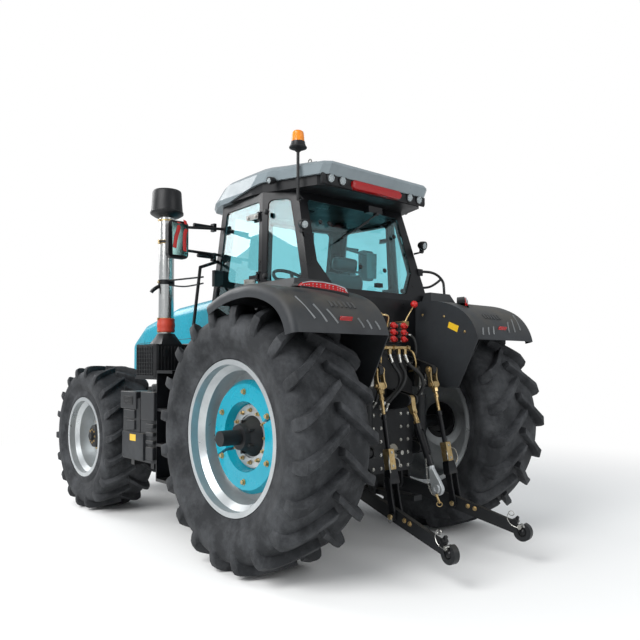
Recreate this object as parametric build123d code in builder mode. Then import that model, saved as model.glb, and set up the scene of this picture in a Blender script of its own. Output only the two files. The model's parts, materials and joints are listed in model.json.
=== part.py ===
"""Farm tractor: closed cab, steered front axle, large lugged tyres and a rear three-point hitch.

X runs forward, Y to the left and Z up. The origin is on the ground under the middle of the machine.
Lengths are in millimetres.
"""

import os
from math import acos, atan2, cos, hypot, pi, radians, sin

from build123d import *

os.makedirs("parts", exist_ok=True)

# Driving dimensions
WHEELBASE = 2860
REAR_OVERHANG = 1350  # rear axle back to the ends of the lower-link hooks
FRONT_OVERHANG = 1190  # front axle ahead to the noses of the front weights
REAR_TRACK = 2060
FRONT_TRACK = 1900
CONTACT_GAP = 0.3  # between pieces that seat on curved or moving faces
RUNNING_GAP = 8  # between a moving piece and what it passes

# Tyres and rims, 650/65 R42 at the rear and 540/65 R30 at the front
REAR_TYRE_RADIUS = 956
REAR_TYRE_WIDTH = 650
REAR_SEAT_RADIUS = 533
REAR_RIM_WIDTH = 508
FRONT_TYRE_RADIUS = 732
FRONT_TYRE_WIDTH = 540
FRONT_SEAT_RADIUS = 381
FRONT_RIM_WIDTH = 457
LUG_HEIGHT = 58
REAR_LUG_COUNT = 20  # on each side
FRONT_LUG_COUNT = 18
RIM_WALL = 12
RIM_FLANGE = 25
RIM_WELL = 42

REAR_AXLE_X = (REAR_OVERHANG - WHEELBASE - FRONT_OVERHANG) / 2
FRONT_AXLE_X = REAR_AXLE_X + WHEELBASE
REAR_AXLE_Z = REAR_TYRE_RADIUS
FRONT_AXLE_Z = FRONT_TYRE_RADIUS
REAR_WHEEL_Y = REAR_TRACK / 2
FRONT_WHEEL_Y = FRONT_TRACK / 2

# Rear hub, bar axle and split wheel weight
BAR_AXLE_RADIUS = 55
BAR_AXLE_REACH = 340  # beyond the wheel's middle plane
DISC_THICKNESS = 18
DISC_OFFSET = 62  # wheel's middle plane out to the disc's outer face
HUB_RADIUS = 165
HUB_LENGTH = 150
WEIGHT_RADIUS = 412
WEIGHT_BORE = 235
WEIGHT_THICKNESS = 72
WEIGHT_SPLIT = 22
WEIGHT_SPLIT_ANGLE = 26

# Front hub and steering knuckle
KINGPIN_Y = 700
KINGPIN_RADIUS = 62
KNUCKLE_HEIGHT = 330
FRONT_DISC_OFFSET = 40
FRONT_HUB_RADIUS = 150
FRONT_HUB_REACH = 130

# Driveline: a rear housing, a gearbox, a bell housing and the engine, in line
HOUSING_BACK = -360  # distances ahead of the rear axle
HOUSING_FRONT = 420
GEARBOX_FRONT = 1300
BELL_FRONT = 1620
ENGINE_FRONT = 2600
HOUSING_WIDTH = 520
GEARBOX_WIDTH = 470
ENGINE_WIDTH = 470
HOUSING_TOP = 430  # heights above the rear axle
HOUSING_BOTTOM = -336
GEARBOX_TOP = 250
GEARBOX_BOTTOM = -300
ENGINE_TOP = 680
ENGINE_BOTTOM = -160
TRUMPET_RADIUS = 130
TRUMPET_END_Y = 690
TRUMPET_FLANGE_RADIUS = 160

# Fenders
FENDER_WALL = 8
FENDER_INNER_Y = 520
FENDER_OVERHANG = 12  # beyond the tyre's outer side
FENDER_RISE = 113  # crown above the tyre's top
FENDER_BACK = -830
FENDER_FRONT = 205

# Cab
CAB_FLOOR_RISE = 34  # above the rear housing
CAB_WALL = 55
CAB_BELT_GAP = 8  # above the fender crown
GLASS_THICKNESS = 8
GLASS_INSET = 10
ROOF_BASE_HEIGHT = 75


def ahead(distance):
    """X of a point this far ahead of the rear axle."""
    return REAR_AXLE_X + distance


def wheel_plane(x, z):
    """A plane through a wheel's axis whose own X is the radius and whose own Y is the machine's Y."""
    return Plane(origin=(x, 0, z), x_dir=(0, 0, 1), z_dir=(-1, 0, 0))


def side_plane(y=0):
    """The machine's side view at Y: own X is the machine's X and own Y its height."""
    return Plane(origin=(0, y, 0), x_dir=(1, 0, 0), z_dir=(0, -1, 0))


def save(part, name):
    part.label = name
    export_step(part, f"parts/{name}.step")


def save_pair(part, name):
    """Write the left piece and its mirror image on the right."""
    save(part, f"{name}_left")
    save(mirror(part, about=Plane.XZ), f"{name}_right")


def box(x_range, y_range, z_range, mode=Mode.ADD):
    """A box between two limits on each axis, for use inside a part block."""
    middle = [(low + high) / 2 for low, high in (x_range, y_range, z_range)]
    lengths = [high - low for low, high in (x_range, y_range, z_range)]
    with Locations(tuple(middle)):
        Box(*lengths, mode=mode)


def rod(start, end, radius, mode=Mode.ADD):
    """A round bar between two points, for use inside a part block."""
    run = Vector(*end) - Vector(*start)
    with Locations(Plane(origin=start, z_dir=run)):
        Cylinder(radius, run.length, align=(Align.CENTER, Align.CENTER, Align.MIN), mode=mode)


def mirrored(part):
    return mirror(part, about=Plane.XZ)


def tapered(circles):
    """A bar's outline round circles in a row, given as X, Y and radius, for use inside a sketch block."""
    for x, y, radius in circles:
        with Locations((x, y)):
            Circle(radius)
    for (x0, y0, radius0), (x1, y1, radius1) in zip(circles, circles[1:]):
        heading = atan2(y1 - y0, x1 - x0)
        lean = acos((radius0 - radius1) / hypot(x1 - x0, y1 - y0))
        corners = [
            (x + radius * cos(heading + turn), y + radius * sin(heading + turn))
            for x, y, radius, turn in (
                (x0, y0, radius0, lean),
                (x1, y1, radius1, lean),
                (x1, y1, radius1, -lean),
                (x0, y0, radius0, -lean),
            )
        ]
        Polygon(*corners, align=None)


def plate(circles, y_range, mode=Mode.ADD):
    """A flat plate across Y that wraps round circles in a row, given as X, Z and radius."""
    with BuildSketch(side_plane(y_range[1])) as outline:
        tapered(circles)
    extrude(outline.sketch, amount=y_range[1] - y_range[0], mode=mode)


def faceted(rings, closed=False):
    """A solid of flat faces through rings of points, in a closed chain or with its two ends capped."""
    pairs = list(zip(rings, rings[1:]))
    faces = []
    if closed:
        pairs.append((rings[-1], rings[0]))
    else:
        faces += [Face(Wire.make_polygon(ring, close=True)) for ring in (rings[0], rings[-1])]
    for ring, following in pairs:
        for i in range(len(ring)):
            corners = (ring[i - 1], ring[i], following[i], following[i - 1])
            faces.append(Face(Wire.make_polygon(corners, close=True)))
    return Solid(Shell(faces))


# Tyres: a carcass of flat facets, one behind each lug, and slanted lugs in two staggered rows
# share of the width across, then as shares of the tyre's radius: drop of the top below the tip circle,
# depth of the foot below the tread, trail behind the lug's root, half thickness
LUG_SECTIONS = (
    (-0.035, 0.000, 0.03, -0.11, 0.028),
    (0.480, 0.024, 0.10, 0.135, 0.040),
)


def lug_form(radius, width, tread):
    """One slanted lug at the top of a tyre, from the tread's middle out to the left shoulder."""
    ends = []
    for across, drop, foot, trail, half_top in LUG_SECTIONS:
        top = ((radius * (1 - drop)) ** 2 - (radius * (abs(trail) + half_top)) ** 2) ** 0.5
        low = tread - foot * radius
        front = radius * (half_top - trail)
        back = -radius * (half_top + trail)
        y = across * width
        ends.append([(front, y, top), (back, y, top), (back, y, low), (front, y, low)])
    return faceted(ends)


def tyre(axle_x, axle_z, middle_y, radius, width, seat_radius, rim_width, lug_count):
    """One tyre, seated between the rim's flanges."""
    half_seat = rim_width / 2 - CONTACT_GAP
    tread = radius - LUG_HEIGHT
    step = 2 * pi / lug_count
    to_corner = 1 / cos(step / 2)  # from the middle of a flat to its corners
    half_section = (
        ((seat_radius + CONTACT_GAP) * to_corner, half_seat),
        ((seat_radius + RIM_FLANGE + CONTACT_GAP) * to_corner, half_seat),
        (0.80 * radius, 0.50 * width),
        (tread - 0.012 * radius, 0.43 * width),
    )
    section = [(r, -y) for r, y in half_section] + [(r, y) for r, y in reversed(half_section)]
    rings = [[(r * sin(i * step), y, r * cos(i * step)) for i in range(lug_count)] for r, y in section]
    lug = lug_form(radius, width, tread)
    pitch = 360 / lug_count
    with BuildPart() as body:
        add(faceted(rings, closed=True))
        left = [lug.rotate(Axis.Y, pitch * i) for i in range(lug_count)]
        right = [mirrored(lug).rotate(Axis.Y, pitch * (i + 0.5)) for i in range(lug_count)]
        add(left + right)
    return body.part.translate((axle_x, middle_y, axle_z))


def rim(axle_x, axle_z, middle_y, seat_radius, rim_width, disc_y, hub_radius):
    """A drop-centre rim with its disc, open inside the barrel."""
    half = rim_width / 2
    well = seat_radius - RIM_WELL
    flange = seat_radius + RIM_FLANGE
    outer = (
        (flange, half + RIM_WALL),
        (flange, half),
        (seat_radius, half),
        (seat_radius, 0.78 * half),
        (well, 0.62 * half),
    )
    inner = (
        (well - RIM_WALL, 0.64 * half),
        (seat_radius - RIM_WALL, 0.80 * half),
        (seat_radius - RIM_WALL, half + RIM_WALL),
    )
    with BuildPart() as body:
        with BuildSketch(wheel_plane(axle_x, axle_z)):
            with BuildLine():
                Polyline(
                    *[(r, middle_y + y) for r, y in outer],
                    *[(r, middle_y - y) for r, y in reversed(outer)],
                    *[(r, middle_y - y) for r, y in reversed(inner)],
                    *[(r, middle_y + y) for r, y in inner],
                    close=True,
                )
            make_face()
            with BuildLine():
                Polyline(
                    (hub_radius * 0.45, disc_y),
                    (hub_radius * 1.5, disc_y),
                    (well - RIM_WALL / 2, disc_y - 2 * DISC_THICKNESS),
                    (well - RIM_WALL / 2, disc_y - 3 * DISC_THICKNESS),
                    (hub_radius * 1.5, disc_y - DISC_THICKNESS),
                    (hub_radius * 0.45, disc_y - DISC_THICKNESS),
                    close=True,
                )
            make_face()
        revolve(axis=Axis((axle_x, 0, axle_z), (0, 1, 0)))
    return body.part

save_pair(
    tyre(
        REAR_AXLE_X,
        REAR_AXLE_Z,
        REAR_WHEEL_Y,
        REAR_TYRE_RADIUS,
        REAR_TYRE_WIDTH,
        REAR_SEAT_RADIUS,
        REAR_RIM_WIDTH,
        REAR_LUG_COUNT,
    ),
    "rear_tyre",
)
save_pair(
    tyre(
        FRONT_AXLE_X,
        FRONT_AXLE_Z,
        FRONT_WHEEL_Y,
        FRONT_TYRE_RADIUS,
        FRONT_TYRE_WIDTH,
        FRONT_SEAT_RADIUS,
        FRONT_RIM_WIDTH,
        FRONT_LUG_COUNT,
    ),
    "front_tyre",
)
REAR_DISC_Y = REAR_WHEEL_Y + DISC_OFFSET
FRONT_DISC_Y = FRONT_WHEEL_Y + FRONT_DISC_OFFSET
save_pair(
    rim(REAR_AXLE_X, REAR_AXLE_Z, REAR_WHEEL_Y, REAR_SEAT_RADIUS, REAR_RIM_WIDTH, REAR_DISC_Y, HUB_RADIUS),
    "rear_rim",
)
save_pair(
    rim(FRONT_AXLE_X, FRONT_AXLE_Z, FRONT_WHEEL_Y, FRONT_SEAT_RADIUS, FRONT_RIM_WIDTH, FRONT_DISC_Y, FRONT_HUB_RADIUS),
    "front_rim",
)


# Rear hubs: a flanged clamp hub on a long bar axle, and the split weight bolted to the disc
SHAFT_START_Y = TRUMPET_END_Y + CONTACT_GAP
SHAFT_END_Y = REAR_WHEEL_Y + BAR_AXLE_REACH
HUB_BORE = HUB_RADIUS * 0.45  # of the disc, which the hub fills
hub_section = (
    (0, SHAFT_START_Y),
    (BAR_AXLE_RADIUS, SHAFT_START_Y),
    (BAR_AXLE_RADIUS, REAR_DISC_Y - DISC_THICKNESS - 80),
    (105, REAR_DISC_Y - DISC_THICKNESS - 70),
    (120, REAR_DISC_Y - DISC_THICKNESS - 26),
    (HUB_RADIUS, REAR_DISC_Y - DISC_THICKNESS - 24),
    (HUB_RADIUS, REAR_DISC_Y - DISC_THICKNESS),
    (HUB_BORE, REAR_DISC_Y - DISC_THICKNESS),
    (HUB_BORE, REAR_DISC_Y),
    (HUB_RADIUS * 0.9, REAR_DISC_Y),
    (HUB_RADIUS * 0.62, REAR_DISC_Y + 0.55 * HUB_LENGTH),
    (HUB_RADIUS * 0.55, REAR_DISC_Y + 0.8 * HUB_LENGTH),
    (BAR_AXLE_RADIUS, REAR_DISC_Y + 0.8 * HUB_LENGTH),
    (BAR_AXLE_RADIUS, SHAFT_END_Y),
    (0, SHAFT_END_Y),
)
with BuildPart() as rear_hub:
    with BuildSketch(wheel_plane(REAR_AXLE_X, REAR_AXLE_Z)):
        with BuildLine():
            Polyline(*hub_section, close=True)
        make_face()
    revolve(axis=Axis((REAR_AXLE_X, 0, REAR_AXLE_Z), (0, 1, 0)))
save_pair(rear_hub.part, "rear_hub")

weight_section = (
    (WEIGHT_BORE, REAR_DISC_Y),
    (WEIGHT_BORE + 20, REAR_DISC_Y + WEIGHT_THICKNESS),
    (WEIGHT_RADIUS - 30, REAR_DISC_Y + WEIGHT_THICKNESS),
    (WEIGHT_RADIUS, REAR_DISC_Y + WEIGHT_THICKNESS / 2),
    (WEIGHT_RADIUS, REAR_DISC_Y),
)
with BuildPart() as wheel_weight:
    with BuildSketch(wheel_plane(REAR_AXLE_X, REAR_AXLE_Z)):
        with BuildLine():
            Polyline(*weight_section, close=True)
        make_face()
    revolve(axis=Axis((REAR_AXLE_X, 0, REAR_AXLE_Z), (0, 1, 0)))
    split_plane = Plane(
        origin=(REAR_AXLE_X, REAR_DISC_Y, REAR_AXLE_Z),
        x_dir=(0, 1, 0),
        z_dir=(sin(radians(WEIGHT_SPLIT_ANGLE)), 0, cos(radians(WEIGHT_SPLIT_ANGLE))),
    )
    with Locations(split_plane):
        Box(4 * WEIGHT_THICKNESS, 3 * WEIGHT_RADIUS, WEIGHT_SPLIT, mode=Mode.SUBTRACT)
save_pair(wheel_weight.part, "wheel_weight")


# Front hubs and steering knuckles
KNUCKLE_FACE_Y = FRONT_DISC_Y - DISC_THICKNESS - 60
FRONT_HUB_BORE = FRONT_HUB_RADIUS * 0.45
front_hub_section = (
    (0, KNUCKLE_FACE_Y + CONTACT_GAP),
    (FRONT_HUB_RADIUS * 0.8, KNUCKLE_FACE_Y + CONTACT_GAP),
    (FRONT_HUB_RADIUS, FRONT_DISC_Y - DISC_THICKNESS),
    (FRONT_HUB_BORE, FRONT_DISC_Y - DISC_THICKNESS),
    (FRONT_HUB_BORE, FRONT_DISC_Y),
    (FRONT_HUB_RADIUS * 0.9, FRONT_DISC_Y),
    (FRONT_HUB_RADIUS * 0.75, FRONT_DISC_Y + 0.7 * FRONT_HUB_REACH),
    (FRONT_HUB_RADIUS * 0.6, FRONT_DISC_Y + 0.8 * FRONT_HUB_REACH),
    (FRONT_HUB_RADIUS * 0.3, FRONT_DISC_Y + 0.8 * FRONT_HUB_REACH),
    (FRONT_HUB_RADIUS * 0.25, FRONT_DISC_Y + FRONT_HUB_REACH),
    (0, FRONT_DISC_Y + FRONT_HUB_REACH),
)
with BuildPart() as front_hub:
    with BuildSketch(wheel_plane(FRONT_AXLE_X, FRONT_AXLE_Z)):
        with BuildLine():
            Polyline(*front_hub_section, close=True)
        make_face()
    revolve(axis=Axis((FRONT_AXLE_X, 0, FRONT_AXLE_Z), (0, 1, 0)))
save_pair(front_hub.part, "front_hub")

KNUCKLE_BOTTOM = FRONT_AXLE_Z - KNUCKLE_HEIGHT / 2
STEERING_ARM = 210  # kingpin back to the track rod's end
with BuildPart() as knuckle:
    with Locations((FRONT_AXLE_X, KINGPIN_Y, FRONT_AXLE_Z)):
        Cylinder(KINGPIN_RADIUS, KNUCKLE_HEIGHT)
    with BuildSketch(wheel_plane(FRONT_AXLE_X, FRONT_AXLE_Z)):
        with BuildLine():
            Polyline((0, KINGPIN_Y), (105, KINGPIN_Y), (120, KNUCKLE_FACE_Y), (0, KNUCKLE_FACE_Y), close=True)
        make_face()
    revolve(axis=Axis((FRONT_AXLE_X, 0, FRONT_AXLE_Z), (0, 1, 0)))
    box(
        (FRONT_AXLE_X - STEERING_ARM, FRONT_AXLE_X),
        (KINGPIN_Y - 30, KINGPIN_Y + 30),
        (KNUCKLE_BOTTOM + 20, KNUCKLE_BOTTOM + 55),
    )
save_pair(knuckle.part, "steering_knuckle")


# Front axle: a beam with a yoke at each end that holds the kingpins top and bottom
BEAM_HEIGHT = 170
BEAM_DEPTH = 190
DIFFERENTIAL_RADIUS = 150
YOKE_DEPTH = 130
YOKE_THICKNESS = 42
YOKE_ROOT_Y = KINGPIN_Y - 125
YOKE_TIP_Y = KINGPIN_Y + 50
yoke_bottom = KNUCKLE_BOTTOM - CONTACT_GAP - YOKE_THICKNESS
yoke_top = KNUCKLE_BOTTOM + KNUCKLE_HEIGHT + CONTACT_GAP + YOKE_THICKNESS
beam_x = (FRONT_AXLE_X - BEAM_DEPTH / 2, FRONT_AXLE_X + BEAM_DEPTH / 2)
yoke_x = (FRONT_AXLE_X - YOKE_DEPTH / 2, FRONT_AXLE_X + YOKE_DEPTH / 2)
with BuildPart() as front_axle:
    box(beam_x, (-YOKE_ROOT_Y, YOKE_ROOT_Y), (FRONT_AXLE_Z - BEAM_HEIGHT / 2, FRONT_AXLE_Z + BEAM_HEIGHT / 2))
    with Locations((FRONT_AXLE_X, 0, FRONT_AXLE_Z)):
        Cylinder(DIFFERENTIAL_RADIUS, 1.4 * BEAM_DEPTH, rotation=(0, 90, 0))
    for side in (1, -1):
        for low, high in ((yoke_bottom, yoke_bottom + YOKE_THICKNESS), (yoke_top - YOKE_THICKNESS, yoke_top)):
            box(yoke_x, sorted((side * YOKE_ROOT_Y, side * YOKE_TIP_Y)), (low, high))
        box(yoke_x, sorted((side * (YOKE_ROOT_Y - YOKE_THICKNESS), side * YOKE_ROOT_Y)), (yoke_bottom, yoke_top))
save(front_axle.part, "front_axle")


# Driveline
def height(rise):
    """Z of a point this far above the rear axle."""
    return REAR_AXLE_Z + rise


with BuildPart() as transmission:
    box(
        (ahead(HOUSING_BACK), ahead(HOUSING_FRONT)),
        (-HOUSING_WIDTH / 2, HOUSING_WIDTH / 2),
        (height(HOUSING_BOTTOM), height(HOUSING_TOP)),
    )
    chamfer(transmission.edges().filter_by(Axis.X), 60)
    box(
        (ahead(HOUSING_FRONT), ahead(GEARBOX_FRONT)),
        (-GEARBOX_WIDTH / 2, GEARBOX_WIDTH / 2),
        (height(GEARBOX_BOTTOM), height(GEARBOX_TOP)),
    )
    with BuildSketch(Plane.YZ.offset(ahead(GEARBOX_FRONT))):
        with Locations((0, height((GEARBOX_TOP + GEARBOX_BOTTOM) / 2))):
            Circle(GEARBOX_WIDTH * 0.56)
    extrude(amount=BELL_FRONT - GEARBOX_FRONT)
    with BuildSketch(wheel_plane(REAR_AXLE_X, REAR_AXLE_Z)):
        for side in (1, -1):
            with BuildLine():
                Polyline(
                    (0, side * HOUSING_WIDTH / 2),
                    (TRUMPET_RADIUS * 1.7, side * HOUSING_WIDTH / 2),
                    (TRUMPET_RADIUS, side * (HOUSING_WIDTH / 2 + 180)),
                    (TRUMPET_RADIUS, side * (TRUMPET_END_Y - 40)),
                    (TRUMPET_FLANGE_RADIUS, side * (TRUMPET_END_Y - 30)),
                    (TRUMPET_FLANGE_RADIUS, side * TRUMPET_END_Y),
                    (0, side * TRUMPET_END_Y),
                    close=True,
                )
            make_face()
    revolve(axis=Axis((REAR_AXLE_X, 0, REAR_AXLE_Z), (0, 1, 0)))
transmission_part = transmission.part

with BuildPart() as engine:
    box(
        (ahead(BELL_FRONT), ahead(ENGINE_FRONT)),
        (-ENGINE_WIDTH / 2, ENGINE_WIDTH / 2),
        (height(ENGINE_BOTTOM), height(ENGINE_TOP)),
    )
    chamfer(engine.edges().filter_by(Axis.X), 40)
save(engine.part, "engine")

# Front support: two cast rails from the engine, a saddle over the axle and a nose with the weight carrier
RAIL_WIDTH = 45
RAIL_TOP = 250
SADDLE_LENGTH = 300
NOSE_FRONT = 3620
CARRIER_DEPTH = 130
CARRIER_WIDTH = 760
CARRIER_THICKNESS = 90
saddle_bottom = FRONT_AXLE_Z + BEAM_HEIGHT / 2
carrier_top = height(ENGINE_BOTTOM) + 30
with BuildPart() as front_support:
    for side in (1, -1):
        box(
            (ahead(ENGINE_FRONT), ahead(NOSE_FRONT)),
            sorted((side * (ENGINE_WIDTH / 2 - RAIL_WIDTH), side * ENGINE_WIDTH / 2)),
            (height(ENGINE_BOTTOM) + 40, height(RAIL_TOP)),
        )
    box(
        (FRONT_AXLE_X - SADDLE_LENGTH / 2, FRONT_AXLE_X + SADDLE_LENGTH / 2),
        (-ENGINE_WIDTH / 2, ENGINE_WIDTH / 2),
        (saddle_bottom, height(ENGINE_BOTTOM) + 120),
    )
    with Locations((FRONT_AXLE_X, 0, FRONT_AXLE_Z)):
        Cylinder(DIFFERENTIAL_RADIUS + CONTACT_GAP, 2 * SADDLE_LENGTH, rotation=(0, 90, 0), mode=Mode.SUBTRACT)
    box(
        (ahead(NOSE_FRONT) - 60, ahead(NOSE_FRONT)),
        (-ENGINE_WIDTH / 2, ENGINE_WIDTH / 2),
        (carrier_top - 210, height(RAIL_TOP)),
    )
    box(
        (ahead(NOSE_FRONT), ahead(NOSE_FRONT) + CARRIER_DEPTH),
        (-CARRIER_WIDTH / 2, CARRIER_WIDTH / 2),
        (carrier_top - CARRIER_THICKNESS, carrier_top),
    )
save(front_support.part, "front_support")

# Front weights: a row of slabs that hook over the carrier bar
SLAB_COUNT = 9
SLAB_PITCH = 78
SLAB_THICKNESS = 70
SLAB_HOOK = 90
SLAB_HEIGHT = 420
slab_front = FRONT_AXLE_X + FRONT_OVERHANG
slab_back = ahead(NOSE_FRONT) + CARRIER_DEPTH + CONTACT_GAP
slab_seat = carrier_top + CONTACT_GAP
with BuildPart() as slab:
    with BuildSketch(side_plane(-SLAB_THICKNESS / 2)):
        with BuildLine():
            Polyline(
                (slab_back - SLAB_HOOK, slab_seat),
                (slab_back - SLAB_HOOK, slab_seat + 60),
                (slab_front - 60, slab_seat + 60),
                (slab_front, slab_seat - 20),
                (slab_front, slab_seat + 180 - SLAB_HEIGHT),
                (slab_front - 60, slab_seat + 60 - SLAB_HEIGHT),
                (slab_back, slab_seat + 90 - SLAB_HEIGHT),
                (slab_back, slab_seat),
                close=True,
            )
        make_face()
    extrude(amount=-SLAB_THICKNESS)
with BuildPart() as front_weights:
    with GridLocations(1, SLAB_PITCH, 1, SLAB_COUNT):
        add(slab.part)
save(front_weights.part, "front_weights")

# Fenders: a moulded skin swept over the wheel, with an outer lip and an inner wall beside the cab
FENDER_OUTER_Y = REAR_WHEEL_Y + REAR_TYRE_WIDTH / 2 + FENDER_OVERHANG
CROWN_Z = 2 * REAR_TYRE_RADIUS + FENDER_RISE
CROWN_X = -290  # ahead of the rear axle
SHOULDER_X = -620
SHOULDER_DROP = 75
FENDER_BACK_DROP = 345
FENDER_FRONT_DROP = 105
FENDER_EDGE_RADIUS = 55
LIP_DEPTH = 95
INNER_WALL_BOTTOM = height(330)
FENDER_CORNER_RADIUS = 240


def arch_front_line():
    """Crown of the fender forward and down to its front end."""
    TangentArc((ahead(CROWN_X), CROWN_Z), (ahead(FENDER_FRONT), CROWN_Z - FENDER_FRONT_DROP), tangent=(1, 0))


def arch_back_lines():
    """Crown of the fender back over the shoulder and down to its rear edge."""
    shoulder = (ahead(SHOULDER_X), CROWN_Z - SHOULDER_DROP)
    slope = 2 * atan2(SHOULDER_DROP, CROWN_X - SHOULDER_X)
    TangentArc((ahead(CROWN_X), CROWN_Z), shoulder, tangent=(-1, 0))
    TangentArc(shoulder, (ahead(FENDER_BACK), CROWN_Z - FENDER_BACK_DROP), tangent=(-cos(slope), -sin(slope)))


with BuildLine(side_plane()) as arch_front:
    arch_front_line()
with BuildLine(side_plane()) as arch_back:
    arch_back_lines()
with BuildSketch(Plane.YZ.offset(ahead(CROWN_X))) as fender_section:
    edge_y = FENDER_OUTER_Y - FENDER_EDGE_RADIUS
    inner_radius = FENDER_EDGE_RADIUS - FENDER_WALL
    with BuildLine():
        outside = RadiusArc(
            (edge_y, CROWN_Z), (FENDER_OUTER_Y, CROWN_Z - FENDER_EDGE_RADIUS), FENDER_EDGE_RADIUS
        )
        inside = RadiusArc(
            (edge_y, CROWN_Z - FENDER_WALL), (FENDER_OUTER_Y - FENDER_WALL, CROWN_Z - FENDER_EDGE_RADIUS), inner_radius
        )
        Polyline(
            outside @ 1, (FENDER_OUTER_Y, CROWN_Z - LIP_DEPTH), (FENDER_OUTER_Y - FENDER_WALL, CROWN_Z - LIP_DEPTH), inside @ 1
        )
        Polyline(outside @ 0, (FENDER_INNER_Y, CROWN_Z), (FENDER_INNER_Y, CROWN_Z - FENDER_WALL), inside @ 0)
    make_face()
with BuildPart() as under_arch:
    with BuildSketch(side_plane(FENDER_INNER_Y)):
        with BuildLine():
            arch_front_line()
            arch_back_lines()
            Polyline(
                (ahead(FENDER_FRONT), CROWN_Z - FENDER_FRONT_DROP),
                (ahead(FENDER_FRONT), REAR_AXLE_Z),
                (ahead(FENDER_BACK), REAR_AXLE_Z),
                (ahead(FENDER_BACK), CROWN_Z - FENDER_BACK_DROP),
            )
        make_face()
    extrude(amount=-FENDER_OUTER_Y)
# pod outline at its foot and its top: X ahead of the rear axle and Y, outside the cab's wall
POD_RISE = 85
POD_FOOT = ((-285, 600), (-175, 600), (-175, 702), (200, 793), (200, 945), (-285, 945))
POD_TOP = ((-250, 630), (-180, 630), (-180, 702), (150, 782), (150, 900), (-250, 900))
with BuildPart() as pod:
    for level, outline in ((CROWN_Z - FENDER_FRONT_DROP, POD_FOOT), (CROWN_Z, POD_FOOT), (CROWN_Z + POD_RISE, POD_TOP)):
        with BuildSketch(Plane.XY.offset(level)):
            Polygon(*[(ahead(x), y) for x, y in outline], align=None)
    loft(ruled=True)
    add(under_arch.part.moved(Location((0, 0, -FENDER_WALL / 2))), mode=Mode.SUBTRACT)
with BuildPart() as fender:
    sweep(sections=fender_section.sketch, path=arch_front.wire())
    sweep(sections=fender_section.sketch, path=arch_back.wire())
    with BuildSketch(side_plane(FENDER_INNER_Y)):
        with BuildLine():
            arch_front_line()
            arch_back_lines()
            Polyline(
                (ahead(FENDER_FRONT), CROWN_Z - FENDER_FRONT_DROP),
                (ahead(FENDER_FRONT), INNER_WALL_BOTTOM),
                (ahead(FENDER_BACK) + 200, INNER_WALL_BOTTOM),
                (ahead(FENDER_BACK), CROWN_Z - FENDER_BACK_DROP),
            )
        make_face()
    extrude(amount=-FENDER_WALL)
    # pod beside the cab, between the door pillar and the tail lamp
    add(pod.part)
save_pair(fender.part, "fender")

# Cab
CAB_FLOOR_Z = height(HOUSING_TOP) + 40
CAB_FLOOR_THICKNESS = 40
CAB_WALL = 55
CAB_BELT_Z = CROWN_Z + RUNNING_GAP
CAB_HEIGHT = 830  # belt to eaves
EAVES_Z = CAB_BELT_Z + CAB_HEIGHT
CAB_WAIST_Y = FENDER_INNER_Y - CONTACT_GAP  # half-width between the fenders
CAB_NOTCH_X = FENDER_FRONT + CONTACT_GAP
ARCH_RADIUS = REAR_TYRE_RADIUS + 34
ARCH_INNER_Y = REAR_WHEEL_Y - REAR_TYRE_WIDTH / 2 - 15
DOOR_ARCH_RADIUS = 1180  # the door's lower rear edge, which passes ahead of the tyre as it opens
WINDOW_RADIUS = 40
# height, then X ahead of the rear axle and half-width of rear corner, middle pillar and front pillar, then windscreen X
CAB_LEVELS = (
    (CAB_FLOOR_Z, -170, 690, 282, 822, 1190, 775, 1300),
    (CAB_BELT_Z, -170, 690, 303, 797, 1105, 752, 1275),
    (EAVES_Z, 75, 607, 330, 765, 985, 715, 1100),
)


def cab_volume(inset):
    """The cab's outer form, moved in by inset, from its floor to its eaves."""
    with BuildPart() as body:
        for level, rear_x, rear_y, middle_x, middle_y, front_x, front_y, screen_x in CAB_LEVELS:
            with BuildSketch(Plane.XY.offset(level)):
                with BuildLine():
                    Polyline(
                        (ahead(front_x), front_y),
                        (ahead(middle_x), middle_y),
                        (ahead(rear_x), rear_y),
                        (ahead(rear_x), -rear_y),
                        (ahead(middle_x), -middle_y),
                        (ahead(front_x), -front_y),
                    )
                    ThreePointArc(
                        (ahead(front_x), -front_y), (ahead(screen_x), 0), (ahead(front_x), front_y)
                    )
                make_face()
                if inset:
                    offset(amount=-inset)
        loft(ruled=True)
    return body.part


def window_prism(plane, outline, depth, inset=0):
    """A rounded outline pushed through the cab, moved in by inset."""
    with BuildPart() as body:
        with BuildSketch(plane) as window:
            with BuildLine():
                Polyline(*outline, close=True)
            make_face()
            fillet(window.vertices(), WINDOW_RADIUS)
            if inset:
                offset(amount=-inset)
        extrude(amount=depth)
    return body.part


def door_prism(inset):
    """The door's outline pushed through the cab, cut back by the arch over the tyre and moved in by inset."""
    with BuildPart() as body:
        with BuildSketch(cab_side_plane) as opening:
            with BuildLine():
                Polyline(*door_outline, close=True)
            make_face()
            with Locations((0, REAR_AXLE_Z)):
                Circle(DOOR_ARCH_RADIUS, mode=Mode.SUBTRACT)
            fillet(opening.vertices().sort_by(Axis.Y)[2:], WINDOW_RADIUS)
            if inset:
                offset(amount=-inset)
        extrude(amount=2000)
    return body.part


def wheel_arch(side, radius, inner_y):
    """Cut the cab back over one rear tyre, for use inside a part block."""
    with Locations((REAR_AXLE_X, side * (inner_y + 500), REAR_AXLE_Z)):
        Cylinder(radius, 1000, rotation=(90, 0, 0), mode=Mode.SUBTRACT)


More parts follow.
